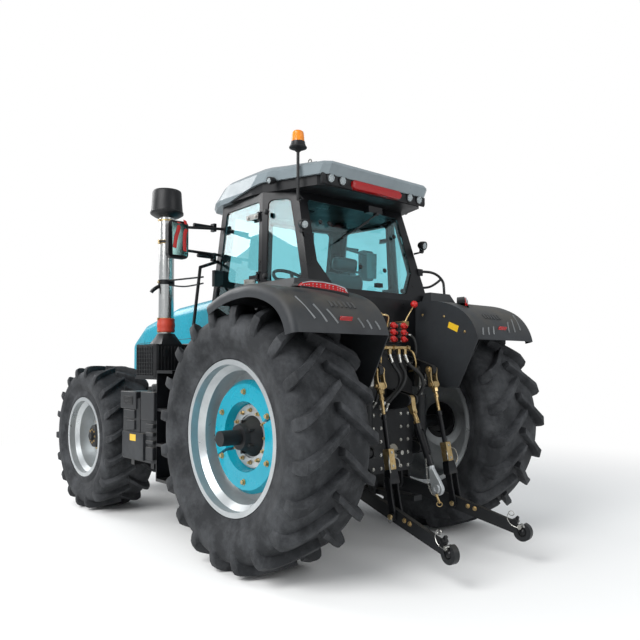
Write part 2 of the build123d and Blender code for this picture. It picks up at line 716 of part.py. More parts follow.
# outlines of the openings: rear in Y and height, sides in X ahead of the rear axle and height
sill = CAB_FLOOR_Z + CAB_FLOOR_THICKNESS
head = EAVES_Z - 65
rear_outline = ((-417, CAB_BELT_Z + 52), (417, CAB_BELT_Z + 52), (552, CAB_BELT_Z + 250), (530, head), (-530, head), (-552, CAB_BELT_Z + 250))
screen_outline = ((-600, CAB_BELT_Z + 190), (600, CAB_BELT_Z + 190), (580, head), (-580, head))
quarter_outline = ((-85, CAB_BELT_Z + 95), (262, CAB_BELT_Z + 95), (285, head), (120, head))
door_outline = ((345, sill), (1125, sill), (1030, CAB_BELT_Z), (912, head), (372, head))
rear_window_plane = Plane(origin=(ahead(-300), 0, 0), x_dir=(0, 1, 0), z_dir=(1, 0, 0))
screen_plane = Plane(origin=(ahead(900), 0, 0), x_dir=(0, 1, 0), z_dir=(1, 0, 0))
cab_side_plane = Plane(origin=(REAR_AXLE_X, 1000, 0), x_dir=(1, 0, 0), z_dir=(0, -1, 0))

with BuildPart() as cab_space:
    add(cab_volume(CAB_WALL))
    box((ahead(-600), ahead(1600)), (-1000, 1000), (CAB_FLOOR_Z - 50, sill), mode=Mode.SUBTRACT)
    box((ahead(-600), ahead(1600)), (-1000, 1000), (EAVES_Z - 45, EAVES_Z + 50), mode=Mode.SUBTRACT)
    for side in (1, -1):
        box(
            (ahead(-600), ahead(CAB_NOTCH_X) + CAB_WALL),
            sorted((side * (CAB_WAIST_Y - CAB_WALL), side * 1000)),
            (CAB_FLOOR_Z - 50, CAB_BELT_Z + CAB_WALL),
            mode=Mode.SUBTRACT,
        )
        wheel_arch(side, ARCH_RADIUS + CAB_WALL, ARCH_INNER_Y - CAB_WALL)

# Door hinge line, just outside the pane's rear edge: X ahead of the rear axle, Y and Z of two points on it
DOOR_HINGE_LINE = ((359.5, 798.7, CAB_BELT_Z), (376.3, 766.2, EAVES_Z))
DOOR_PIN_RADIUS = 7
BARREL_RADIUS = 14
BARREL_LENGTH = 44
LUG_REACH = 38  # from a barrel's middle to its lug's outer face
hinge_foot, hinge_head = (Vector(ahead(x), y, z) for x, y, z in DOOR_HINGE_LINE)
hinge_run = (hinge_head - hinge_foot).normalized()
hinge_centres = [hinge_foot + hinge_run * distance for distance in (150, 640)]
with BuildPart() as hinge_room:
    for centre in hinge_centres:
        run = hinge_run * (BARREL_LENGTH / 2 + 4)
        rod(centre - run, centre + run, BARREL_RADIUS + 6)
with BuildPart() as hinge_lugs:
    for centre in hinge_centres:
        rod(centre - hinge_run * LUG_REACH, centre + hinge_run * LUG_REACH, DOOR_PIN_RADIUS)
        for end in (1, -1):
            lug = centre + hinge_run * end * (LUG_REACH - 5)
            box((lug.X - 34, lug.X + 9), (lug.Y - 12, lug.Y + 9), (lug.Z - 5, lug.Z + 5))

cab_outside = cab_volume(0)
with BuildPart() as cab_frame:
    add(cab_outside)
    for side in (1, -1):
        box(
            (ahead(-600), ahead(CAB_NOTCH_X)),
            sorted((side * CAB_WAIST_Y, side * 1000)),
            (CAB_FLOOR_Z - 50, CAB_BELT_Z),
            mode=Mode.SUBTRACT,
        )
        wheel_arch(side, ARCH_RADIUS, ARCH_INNER_Y)
    add(cab_space.part, mode=Mode.SUBTRACT)
    add(window_prism(rear_window_plane, rear_outline, 520), mode=Mode.SUBTRACT)
    add(window_prism(screen_plane, screen_outline, 600), mode=Mode.SUBTRACT)
    add(window_prism(cab_side_plane, quarter_outline, 2000), mode=Mode.SUBTRACT)
    add(door_prism(0), mode=Mode.SUBTRACT)
    # feet on the rear housing and on the gearbox
    for side in (1, -1):
        for foot_x, foot_z in ((0, height(HOUSING_TOP)), (1050, height(GEARBOX_TOP))):
            rod((ahead(foot_x), side * 150, foot_z), (ahead(foot_x), side * 150, CAB_FLOOR_Z), 45)
    add(hinge_room.part, mode=Mode.SUBTRACT)
    add(mirrored(hinge_room.part), mode=Mode.SUBTRACT)
    add(hinge_lugs.part)
    add(mirrored(hinge_lugs.part))
save(cab_frame.part, "cab_frame")

glass_skin = cab_volume(GLASS_INSET) - cab_volume(GLASS_INSET + GLASS_THICKNESS)
with BuildPart() as cab_glass:
    add(glass_skin & window_prism(rear_window_plane, rear_outline, 520, CONTACT_GAP))
    add(glass_skin & window_prism(screen_plane, screen_outline, 600, CONTACT_GAP))
    add(glass_skin & window_prism(cab_side_plane, quarter_outline, 2000, CONTACT_GAP))
save(cab_glass.part, "cab_glass")

DOOR_GAP = 6
door_panes = glass_skin & door_prism(DOOR_GAP)
with BuildPart() as door_pane:
    add(door_panes)
    split(bisect_by=Plane.XZ, keep=Keep.BOTTOM)
save_pair(door_pane.part, "door")

# Door hinge barrels, latch and handle on the pane
with BuildPart() as door_fittings:
    for centre in hinge_centres:
        rod(centre - hinge_run * BARREL_LENGTH / 2, centre + hinge_run * BARREL_LENGTH / 2, BARREL_RADIUS)
        box((centre.X, centre.X + 110), (centre.Y - 40, centre.Y + 4), (centre.Z - 14, centre.Z + 14))
    box((ahead(940), ahead(980)), (700, 830), (CAB_BELT_Z + 120, CAB_BELT_Z + 260))
    add(cab_volume(GLASS_INSET), mode=Mode.SUBTRACT)
    for centre in hinge_centres:
        rod(centre - hinge_run * 60, centre + hinge_run * 60, DOOR_PIN_RADIUS + CONTACT_GAP, mode=Mode.SUBTRACT)
save_pair(door_fittings.part, "door_fittings")

# Roof: a black base over the eaves and a pale moulded cap with a visor at the front
ROOF_BASE_TOP = EAVES_Z + 77
ROOF_BACK = -205
ROOF_VISOR_BACK = 345
ROOF_VISOR_X = 800
# half outline seen from above: share of the length from the back, share of the half-width
ROOF_OUTLINE = ((0, 0.70), (0.03, 0.77), (0.36, 0.98), (0.45, 1), (0.76, 0.98), (0.84, 0.93), (0.96, 0.80), (1, 0.55))
# height above the eaves, back and front ahead of the rear axle, half-width
ROOF_LEVELS = (
    (0, -200, 1290, 790),
    (40, -210, 1310, 800),
    (150, -272, 1160, 790),
    (175, -255, 1120, 765),
    (235, 40, 930, 660),
    (278, 300, 700, 480),
)


def roof_level(back, front, half_width):
    """The roof's outline seen from above, for use inside a sketch block."""
    left = [(ahead(back + along * (front - back)), across * half_width) for along, across in ROOF_OUTLINE]
    Polygon(*left, *[(x, -y) for x, y in reversed(left)], align=None)


with BuildPart() as under_roof:
    with BuildSketch(side_plane(1000)):
        with BuildLine():
            Polyline(
                (ahead(ROOF_BACK - 200), EAVES_Z - 50),
                (ahead(ROOF_BACK - 200), ROOF_BASE_TOP),
                (ahead(ROOF_VISOR_BACK), ROOF_BASE_TOP),
                (ahead(ROOF_VISOR_X), EAVES_Z),
                (ahead(ROOF_VISOR_X), EAVES_Z - 50),
                close=True,
            )
        make_face()
    extrude(amount=2000)

with BuildPart() as roof_base:
    with BuildSketch(Plane.XY.offset(EAVES_Z)):
        roof_level(ROOF_BACK + 15, 1270, 778)
    extrude(amount=ROOF_BASE_TOP - EAVES_Z)
    add(under_roof.part, mode=Mode.INTERSECT)
save(roof_base.part, "roof_base")

with BuildPart() as roof_cap:
    for rise, *extent in ROOF_LEVELS:
        with BuildSketch(Plane.XY.offset(EAVES_Z + rise)):
            roof_level(*extent)
    loft(ruled=True)
    add(under_roof.part, mode=Mode.SUBTRACT)
save(roof_cap.part, "roof")

# Work lamps: two pairs under the roof's rear edge and one on each rear pillar
ROOF_LAMP_RADIUS = 42
lamp_face_x = ahead(ROOF_BACK + 15)
with BuildPart() as work_lamps:
    for lamp_y in (517, 397, -397, -517):
        lamp_z = (EAVES_Z + ROOF_BASE_TOP) / 2
        rod((lamp_face_x, lamp_y, lamp_z), (lamp_face_x - 40, lamp_y, lamp_z), ROOF_LAMP_RADIUS - 8)
save(work_lamps.part, "work_lamps")

# Beacon on a pole beside the left rear pillar
BEACON_X = ahead(-40)
BEACON_Y = 700
BEACON_BASE_Z = EAVES_Z + 262
with BuildPart() as beacon:
    rod((BEACON_X, BEACON_Y, EAVES_Z - 160), (BEACON_X, BEACON_Y, BEACON_BASE_Z), 12)
    rod((BEACON_X, BEACON_Y, EAVES_Z - 135), (ahead(90), 610, EAVES_Z - 135), 10)
    add(cab_outside, mode=Mode.SUBTRACT)
    with Locations((BEACON_X, BEACON_Y, BEACON_BASE_Z)):
        Cone(70, 55, 70, align=(Align.CENTER, Align.CENTER, Align.MIN))
    with Locations((BEACON_X, BEACON_Y, BEACON_BASE_Z + 70)):
        Cylinder(50, 60, align=(Align.CENTER, Align.CENTER, Align.MIN))
        with Locations((0, 0, 60)):
            Cone(50, 34, 35, align=(Align.CENTER, Align.CENTER, Align.MIN))
save(beacon.part, "beacon")

# Tail lamps on the fenders
with BuildPart() as tail_lamp:
    with BuildSketch(side_plane(660)):
        with BuildLine():
            Polyline(
                (ahead(-290), CROWN_Z + CONTACT_GAP),
                (ahead(-290), CROWN_Z + 55),
                (ahead(-400), CROWN_Z + 45),
                (ahead(-430), CROWN_Z + CONTACT_GAP),
                close=True,
            )
        make_face()
    extrude(amount=-290)
with BuildPart() as tail_lamps:
    add(tail_lamp.part)
    add(mirrored(tail_lamp.part))
save(tail_lamps.part, "tail_lamps")

# Grab rail from the right rear pillar down to the fender: X ahead of the rear axle, Y and Z
GRAB_RADIUS = 13
GRAB_POINTS = ((-60, -605, 2300), (-165, -610, 2300), (-180, -700, 2290), (-205, -885, 2085), (-205, -890, CROWN_Z - 4))
with BuildPart() as grab_rail:
    for start, end in zip(GRAB_POINTS, GRAB_POINTS[1:]):
        rod((ahead(start[0]), *start[1:]), (ahead(end[0]), *end[1:]), GRAB_RADIUS)
    for x, y, z in GRAB_POINTS[1:-1]:
        with Locations((ahead(x), y, z)):
            Sphere(GRAB_RADIUS)
    add(cab_outside, mode=Mode.SUBTRACT)
    add(mirrored(fender.part), mode=Mode.SUBTRACT)
save(grab_rail.part, "grab_rail")

# Driver's seat and steering console on the cab floor
with BuildPart() as seat:
    box((ahead(250), ahead(650)), (-200, 200), (sill, sill + 330))
    box((ahead(200), ahead(720)), (-260, 260), (sill + 330, sill + 450))
    with BuildSketch(side_plane(250)):
        with BuildLine():
            Polyline(
                (ahead(200), sill + 440),
                (ahead(330), sill + 440),
                (ahead(230), sill + 950),
                (ahead(130), sill + 950),
                close=True,
            )
        make_face()
    extrude(amount=500)
save(seat.part, "seat")

with BuildPart() as console:
    box((ahead(960), ahead(1120)), (-240, 240), (sill, sill + 620))
    rod((ahead(1040), 0, sill + 600), (ahead(900), 0, sill + 800), 35)
    with Locations(Plane(origin=(ahead(900), 0, sill + 800), z_dir=(-140, 0, 200))):
        Torus(190, 16)
        for angle in (90, 210, 330):
            with Locations(Location((0, 0, 0), (0, 0, angle))):
                with Locations((95, 0, 0)):
                    Box(195, 30, 14)
save(console.part, "steering_console")

# Bonnet: a pressed hood on a rear hinge, open below and behind, with a grille across its nose
BONNET_WALL = 6
BONNET_BACK = 1372
# X ahead of the rear axle, half-width, bottom and top as heights above the rear axle, corner radius
BONNET_SECTIONS = (
    (BONNET_BACK, 430, 400, 1200, 120),
    (2400, 420, 385, 1130, 120),
    (3150, 385, 370, 985, 120),
    (3480, 340, 370, 830, 120),
)


NOSE_X = BONNET_SECTIONS[-1][0]
GRILLE_HALF_WIDTH = 285
GRILLE_Z = (405, 690)
GRILLE_BORDER = 18
GRILLE_DEPTH = 26
SLAT_COUNT = 9
SLAT_THICKNESS = 9
HEADLAMP_DEPTH = 16
HEADLAMP_OUTLINE = ((70, 712), (300, 712), (310, 750), (255, 795), (90, 795))  # Y, and height above the rear axle


def hood(inset, back_step=0):
    """The hood's closed form moved in by inset."""
    with BuildPart() as body:
        for index, (x, half_width, bottom, top, corner) in enumerate(BONNET_SECTIONS):
            shift = -back_step if index == 0 else (-inset if index == len(BONNET_SECTIONS) - 1 else 0)
            with BuildSketch(Plane.YZ.offset(ahead(x + shift))):
                with BuildLine():
                    low = height(bottom) - (20 if inset else 0)
                    high = height(top) - inset
                    wide = half_width - inset
                    round_radius = corner - inset
                    Polyline((wide, high - round_radius), (wide, low), (-wide, low), (-wide, high - round_radius))
                    RadiusArc((-wide, high - round_radius), (round_radius - wide, high), round_radius)
                    Line((round_radius - wide, high), (wide - round_radius, high))
                    RadiusArc((wide - round_radius, high), (wide, high - round_radius), round_radius)
                make_face()
        loft(ruled=True)
    return body.part


HINGE_X = ahead(BONNET_BACK + 28)
HINGE_Z = height(1164)
HINGE_Y = 150
HINGE_PIN_RADIUS = 10
with BuildPart() as bonnet:
    add(hood(0))
    add(hood(BONNET_WALL, back_step=20), mode=Mode.SUBTRACT)
    for side in (1, -1):
        hinge_ear = sorted((side * (HINGE_Y - 16), side * (HINGE_Y + 16)))
        plate(((HINGE_X, HINGE_Z, 20), (HINGE_X + 5, HINGE_Z + 8, 22)), hinge_ear)
        rod(
            (HINGE_X, side * (HINGE_Y - 40), HINGE_Z),
            (HINGE_X, side * (HINGE_Y + 40), HINGE_Z),
            HINGE_PIN_RADIUS + CONTACT_GAP,
            mode=Mode.SUBTRACT,
        )
    box(
        (ahead(NOSE_X) - 2 * BONNET_WALL, ahead(NOSE_X)),
        (-GRILLE_HALF_WIDTH, GRILLE_HALF_WIDTH),
        (height(GRILLE_Z[0]), height(GRILLE_Z[1])),
        mode=Mode.SUBTRACT,
    )
save(bonnet.part, "bonnet")

# Grille: a frame behind the nose's opening with level slats, and two headlamps above it
grille_face = ahead(NOSE_X) - BONNET_WALL
slat_pitch = (GRILLE_Z[1] - GRILLE_Z[0]) / SLAT_COUNT
with BuildPart() as grille:
    box(
        (grille_face - GRILLE_DEPTH, grille_face),
        (-GRILLE_HALF_WIDTH - GRILLE_BORDER, GRILLE_HALF_WIDTH + GRILLE_BORDER),
        (height(GRILLE_Z[0] - GRILLE_BORDER), height(GRILLE_Z[1] + GRILLE_BORDER)),
    )
    box(
        (grille_face - GRILLE_DEPTH, grille_face),
        (GRILLE_BORDER - GRILLE_HALF_WIDTH, GRILLE_HALF_WIDTH - GRILLE_BORDER),
        (height(GRILLE_Z[0] + GRILLE_BORDER), height(GRILLE_Z[1] - GRILLE_BORDER)),
        mode=Mode.SUBTRACT,
    )
    for index in range(1, SLAT_COUNT):
        slat_z = height(GRILLE_Z[0] + index * slat_pitch)
        box(
            (grille_face - GRILLE_DEPTH, grille_face),
            (-GRILLE_HALF_WIDTH, GRILLE_HALF_WIDTH),
            (slat_z - SLAT_THICKNESS / 2, slat_z + SLAT_THICKNESS / 2),
        )
save(grille.part, "grille")
with BuildPart() as headlamps:
    for side in (1, -1):
        with BuildSketch(Plane.YZ.offset(ahead(NOSE_X))):
            with BuildLine():
                Polyline(*[(side * y, height(z)) for y, z in HEADLAMP_OUTLINE], close=True)
            make_face()
        extrude(amount=HEADLAMP_DEPTH, taper=20)
save(headlamps.part, "headlamps")

# Bulkhead on the bell housing, with the pins of the bonnet's hinge
BULKHEAD_X = (ahead(BONNET_BACK + 20), ahead(BONNET_BACK + 32))
with BuildPart() as bulkhead:
    box(BULKHEAD_X, (-380, 380), (height(390), HINGE_Z - 34))
    box(BULKHEAD_X, (-150, 150), (height(100), height(400)))
    for side in (1, -1):
        for lug in ((HINGE_Y - 32, HINGE_Y - 22), (HINGE_Y + 22, HINGE_Y + 32)):
            plate(
                ((HINGE_X, HINGE_Z, 16), (HINGE_X, HINGE_Z - 60, 12)),
                sorted((side * lug[0], side * lug[1])),
            )
        rod((HINGE_X, side * (HINGE_Y - 32), HINGE_Z), (HINGE_X, side * (HINGE_Y + 32), HINGE_Z), HINGE_PIN_RADIUS)
    with Locations((0, 0, height((GEARBOX_TOP + GEARBOX_BOTTOM) / 2))):
        Cylinder(GEARBOX_WIDTH * 0.56, 1000, rotation=(0, 90, 0), mode=Mode.SUBTRACT)
save(bulkhead.part, "bulkhead")


# Intake: a ribbed filter box on the left, a steel stack from it and a bowl-shaped precleaner on top
FILTER_X = (1490, 1880)  # ahead of the rear axle
FILTER_Y = (720, 1100)
FILTER_HEIGHT = 300
FILTER_BOTTOM = height(405)
STACK_X = ahead(1720)
STACK_Y = 870
STACK_RADIUS = 70
STACK_TOP = height(1905)
CAP_RADIUS = 155
CAP_HEIGHT = 265
with BuildPart() as filter_box:
    box((ahead(FILTER_X[0]), ahead(FILTER_X[1])), FILTER_Y, (FILTER_BOTTOM, FILTER_BOTTOM + FILTER_HEIGHT))
    fillet(filter_box.edges().filter_by(Axis.Z), 35)
    with BuildSketch(Plane.XY.offset(FILTER_BOTTOM + FILTER_HEIGHT)):
        with Locations((STACK_X, STACK_Y)):
            Rectangle(240, 220)
    with BuildSketch(Plane.XY.offset(FILTER_BOTTOM + FILTER_HEIGHT + 105)):
        with Locations((STACK_X, STACK_Y)):
            Circle(STACK_RADIUS + 10)
    loft()
save(filter_box.part, "air_filter_box")

stack_foot = FILTER_BOTTOM + FILTER_HEIGHT + 105
with BuildPart() as stack:
    rod((STACK_X, STACK_Y, stack_foot), (STACK_X, STACK_Y, STACK_TOP), STACK_RADIUS)
save(stack.part, "intake_stack")
with BuildPart() as precleaner:
    with BuildSketch(Plane(origin=(STACK_X, STACK_Y, 0), x_dir=(1, 0, 0), z_dir=(0, -1, 0))):
        with BuildLine():
            Polyline(
                (0, STACK_TOP),
                (STACK_RADIUS, STACK_TOP),
                (CAP_RADIUS * 0.75, STACK_TOP + 10),
                (CAP_RADIUS, STACK_TOP + 40),
                (CAP_RADIUS, STACK_TOP + 70),
                (CAP_RADIUS * 0.94, STACK_TOP + 80),
                (CAP_RADIUS * 0.86, STACK_TOP + CAP_HEIGHT - 25),
                (CAP_RADIUS * 0.72, STACK_TOP + CAP_HEIGHT),
                (0, STACK_TOP + CAP_HEIGHT),
                close=True,
            )
        make_face()
    revolve(axis=Axis((STACK_X, STACK_Y, 0), (0, 0, 1)))
save(precleaner.part, "precleaner")

# Side frame: cross arms from the driveline that carry the tank, the battery box and the filter box
TANK_X = (1300, 1945)  # ahead of the rear axle
TANK_Y = (500, 1200)
TANK_Z = (height(-336), height(214))
ARM_HEIGHT = 60
ARM_X = (1420, 1800)
SHELF_THICKNESS = 20
with BuildPart() as side_frame:
    for arm_x in ARM_X:
        box(
            (ahead(arm_x) - 30, ahead(arm_x) + 30),
            (-1150, 1150),
            (TANK_Z[0] - ARM_HEIGHT, TANK_Z[0]),
        )
    box((ahead(ARM_X[0]) - 30, ahead(ARM_X[1]) + 30), (-320, -280), (TANK_Z[0] - ARM_HEIGHT, TANK_Z[0]))
    box((ahead(ARM_X[0]) - 30, ahead(ARM_X[1]) + 30), (280, 320), (TANK_Z[0] - ARM_HEIGHT, TANK_Z[0]))
    bell_bottom = height((GEARBOX_TOP + GEARBOX_BOTTOM) / 2) - GEARBOX_WIDTH * 0.56
    for arm_x, seat_z in zip(ARM_X, (bell_bottom - CONTACT_GAP / 2, height(ENGINE_BOTTOM))):
        box((ahead(arm_x) - 30, ahead(arm_x) + 30), (-60, 60), (TANK_Z[0], seat_z))
    for post_x in ARM_X:
        box((ahead(post_x) - 25, ahead(post_x) + 25), (440, 490), (TANK_Z[0], FILTER_BOTTOM))
    box(
        (ahead(ARM_X[0]) - 25, ahead(FILTER_X[1])),
        (440, FILTER_Y[1]),
        (FILTER_BOTTOM - SHELF_THICKNESS, FILTER_BOTTOM),
    )
save(side_frame.part, "side_frame")

with BuildPart() as tank:
    box((ahead(TANK_X[0]), ahead(TANK_X[1])), TANK_Y, TANK_Z)
    fillet(tank.edges().filter_by(Axis.Z), 60)
    rod((ahead(1420), TANK_Y[1] - 110, TANK_Z[1]), (ahead(1420), TANK_Y[1] - 110, TANK_Z[1] + 130), 55)
save(tank.part, "fuel_tank")

with BuildPart() as battery_box:
    box((ahead(TANK_X[0]), ahead(TANK_X[1])), (-TANK_Y[1] + 60, -TANK_Y[0]), (TANK_Z[0], TANK_Z[1] - 60))
    fillet(battery_box.edges().filter_by(Axis.Z), 25)
save(battery_box.part, "battery_box")

# Exhaust: an elbow from the engine's right side and an upright silencer beside the windscreen pillar
EXHAUST_X = ahead(1500)
EXHAUST_Y = -700
with BuildPart() as exhaust:
    rod((EXHAUST_X + 300, -ENGINE_WIDTH / 2, height(330)), (EXHAUST_X + 300, EXHAUST_Y, height(330)), 55)
    rod((EXHAUST_X + 300, EXHAUST_Y, height(330)), (EXHAUST_X, EXHAUST_Y, height(330)), 55)
    rod((EXHAUST_X, EXHAUST_Y, height(275)), (EXHAUST_X, EXHAUST_Y, height(700)), 55)
    rod((EXHAUST_X, EXHAUST_Y, height(700)), (EXHAUST_X, EXHAUST_Y, height(1500)), 100)
    rod((EXHAUST_X, EXHAUST_Y, height(1500)), (EXHAUST_X, EXHAUST_Y, height(2050)), 55)
save(exhaust.part, "exhaust_stack")

# Steps and handrails up to both doors
STEP_X = (1010, 1270)  # ahead of the rear axle
STEP_Y = (860, 1190)
STEP_THICKNESS = 25
HANGER_THICKNESS = 12
step_top = CAB_FLOOR_Z
with BuildPart() as steps:
    box(
        (ahead(STEP_X[1]), ahead(STEP_X[1]) + HANGER_THICKNESS),
        STEP_Y,
        (height(-480), step_top),
    )
    for rise in (-480, -180, 120):
        box(
            (ahead(STEP_X[0]), ahead(STEP_X[1])),
            STEP_Y,
            (height(rise), height(rise) + STEP_THICKNESS),
        )
    box(
        (ahead(STEP_X[0]), ahead(STEP_X[1]) + HANGER_THICKNESS),
        (CAB_WAIST_Y, STEP_Y[1]),
        (step_top - STEP_THICKNESS, step_top),
    )
    rail = (
        (ahead(1040), 720, CAB_BELT_Z + 360),
        (ahead(1060), 900, CAB_BELT_Z + 290),
        (ahead(1130), 930, CAB_BELT_Z - 290),
        (ahead(1130), 930, step_top),
    )
    for start, end in zip(rail, rail[1:]):
        rod(start, end, 14)
    for corner in rail[1:3]:
        with Locations(corner):
            Sphere(14)
    add(cab_outside, mode=Mode.SUBTRACT)
with BuildPart() as both_steps:
    add(steps.part)
    add(mirrored(steps.part))
save(both_steps.part, "steps")

# Mirrors on two arms from each front pillar
with BuildPart() as mirror_left:
    rod((ahead(990), 705, CAB_BELT_Z + 640), (ahead(1040), 1120, CAB_BELT_Z + 610), 12)
    rod((ahead(1025), 710, CAB_BELT_Z + 410), (ahead(1050), 1120, CAB_BELT_Z + 420), 12)
    add(cab_outside, mode=Mode.SUBTRACT)
    with BuildSketch(Plane.YZ.offset(ahead(1030))) as face:
        with Locations((1130, CAB_BELT_Z + 500)):
            RectangleRounded(190, 320, 40)
    extrude(amount=45)
with BuildPart() as mirrors:
    add(mirror_left.part)
    add(mirrored(mirror_left.part))
save(mirrors.part, "mirrors")

# Rear linkage. Pins given ahead of and above the rear axle.
ROCKSHAFT_X = ahead(-235)
ROCKSHAFT_Z = height(545)
ROCKSHAFT_RADIUS = 45
ARM_TIP_X = ahead(-520)
ARM_TIP_Z = height(477)
ARM_Y = 310
ARM_THICKNESS = 45
ARM_BOSS_RADIUS = 58
ROD_PIN_RADIUS = 16
LINK_PIVOT_X = ahead(-230)
LINK_PIVOT_Z = height(-450)
LINK_PIVOT_Y = 270
LINK_THICKNESS = 36
LINK_PIN_RADIUS = 18
CLAW_RADIUS = 67
BALL_SEAT_RADIUS = 32.5
CLAW_X = ahead(-REAR_OVERHANG + CLAW_RADIUS)
CLAW_Y = 430
CLAW_Z = height(-711)
ROD_EYE_X = ahead(-735)  # where the lift rod meets the lower link
ROD_EYE_Z = height(-566)
FORK_GAP = 6
FORK_WALL = 16
TOP_PIN_X = ahead(-560)
TOP_PIN_Z = height(245)
TOP_BALL_X = ahead(-835)
TOP_BALL_Z = height(-403)
CYLINDER_PIN_X = ahead(-400)
CYLINDER_PIN_Z = height(-156)
CYLINDER_EYE_Z = height(484)
CYLINDER_Y = ARM_Y
PTO_Z = height(-170)
PTO_RADIUS = 17.5
PTO_LENGTH = 100
DRAWBAR_Z = height(-500)
EAR_BLOCK_BACK = -236
EAR_BLOCK_DROP = 22
DRAWBAR_THICKNESS = 40
DRAWBAR_END = -640
DRAWBAR_PIN_RADIUS = 16.5

housing_back_x = ahead(HOUSING_BACK)
with BuildPart() as transmission:
    add(transmission_part)
    # lift housing that carries the rockshaft behind the cab
    box((housing_back_x, ahead(-178)), (-190, 190), (height(HOUSING_TOP) - 80, ROCKSHAFT_Z + 60))
    with Locations((ROCKSHAFT_X, 0, ROCKSHAFT_Z)):
        Cylinder(ROCKSHAFT_RADIUS + CONTACT_GAP, 1000, rotation=(90, 0, 0), mode=Mode.SUBTRACT)
    # ears for the lower links
    box(
        (ahead(EAR_BLOCK_BACK), ahead(-130)),
        (-340, 340),
        (height(HOUSING_BOTTOM) - EAR_BLOCK_DROP, height(HOUSING_BOTTOM) + 60),
    )
    for side in (1, -1):
        for ear_y in (LINK_PIVOT_Y - 44, LINK_PIVOT_Y + 44):
            plate(
                ((LINK_PIVOT_X, LINK_PIVOT_Z, 48), (LINK_PIVOT_X + 15, height(HOUSING_BOTTOM) - 20, 55)),
                sorted((side * (ear_y - 11), side * (ear_y + 11))),
            )
        rod(
            (LINK_PIVOT_X, side * (LINK_PIVOT_Y - 44), LINK_PIVOT_Z),
            (LINK_PIVOT_X, side * (LINK_PIVOT_Y + 44), LINK_PIVOT_Z),
            LINK_PIN_RADIUS,
        )
        # ears and pins for the lift cylinders
        box(
            (housing_back_x + 14, housing_back_x + 60),
            sorted((side * (HOUSING_WIDTH / 2 - 10), side * (CYLINDER_Y + 52))),
            (CYLINDER_PIN_Z - 60, CYLINDER_PIN_Z + 60),
        )
        for ear_y in (CYLINDER_Y - 42, CYLINDER_Y + 42):
            plate(
                ((CYLINDER_PIN_X, CYLINDER_PIN_Z, 42), (housing_back_x + 40, CYLINDER_PIN_Z, 60)),
                sorted((side * (ear_y - 10), side * (ear_y + 10))),
            )
        rod(
            (CYLINDER_PIN_X, side * (CYLINDER_Y - 42), CYLINDER_PIN_Z),
            (CYLINDER_PIN_X, side * (CYLINDER_Y + 42), CYLINDER_PIN_Z),
            20,
        )
        # bracket for the top link
        plate(
            ((TOP_PIN_X, TOP_PIN_Z, 45), (housing_back_x + 30, TOP_PIN_Z, 90)),
            sorted((side * 32, side * 50)),
        )
    rod((TOP_PIN_X, -50, TOP_PIN_Z), (TOP_PIN_X, 50, TOP_PIN_Z), 16)
save(transmission.part, "transmission")

# Power take-off shaft and drawbar
with BuildPart() as pto:
    rod((housing_back_x, 0, PTO_Z), (housing_back_x - 20, 0, PTO_Z), 60)
    rod((housing_back_x - 20, 0, PTO_Z), (housing_back_x - 20 - PTO_LENGTH, 0, PTO_Z), PTO_RADIUS)
save(pto.part, "pto_shaft")

with BuildPart() as drawbar:
    box((ahead(DRAWBAR_END), ahead(100)), (-45, 45), (DRAWBAR_Z - DRAWBAR_THICKNESS / 2, DRAWBAR_Z + DRAWBAR_THICKNESS / 2))
    with Locations((ahead(DRAWBAR_END) + 45, 0, DRAWBAR_Z)):
        Cylinder(DRAWBAR_PIN_RADIUS, 2 * DRAWBAR_THICKNESS, mode=Mode.SUBTRACT)
    for x_range in ((EAR_BLOCK_BACK, -170), (20, 100)):
        for side in (1, -1):
            box(
                (ahead(x_range[0]), ahead(x_range[1])),
                sorted((side * 45, side * 65)),
                (DRAWBAR_Z - DRAWBAR_THICKNESS / 2, height(HOUSING_BOTTOM) - (EAR_BLOCK_DROP if x_range[0] < -130 else 0)),
            )
save(drawbar.part, "drawbar")

# Lift arms on their common rockshaft
with BuildPart() as lift_arms:
    with Locations((ROCKSHAFT_X, 0, ROCKSHAFT_Z)):
        Cylinder(ROCKSHAFT_RADIUS, 2 * (ARM_Y + ARM_THICKNESS / 2), rotation=(90, 0, 0))
    for side in (1, -1):
        plate(
            ((ROCKSHAFT_X, ROCKSHAFT_Z, ARM_BOSS_RADIUS), (ARM_TIP_X, ARM_TIP_Z, 40)),
            sorted((side * (ARM_Y - ARM_THICKNESS / 2), side * (ARM_Y + ARM_THICKNESS / 2))),
        )
        rod(
            (ARM_TIP_X, side * (ARM_Y - 100), ARM_TIP_Z),
            (ARM_TIP_X, side * (ARM_Y + 100), ARM_TIP_Z),
            ROD_PIN_RADIUS + CONTACT_GAP,
            mode=Mode.SUBTRACT,
        )
save(lift_arms.part, "lift_arms")


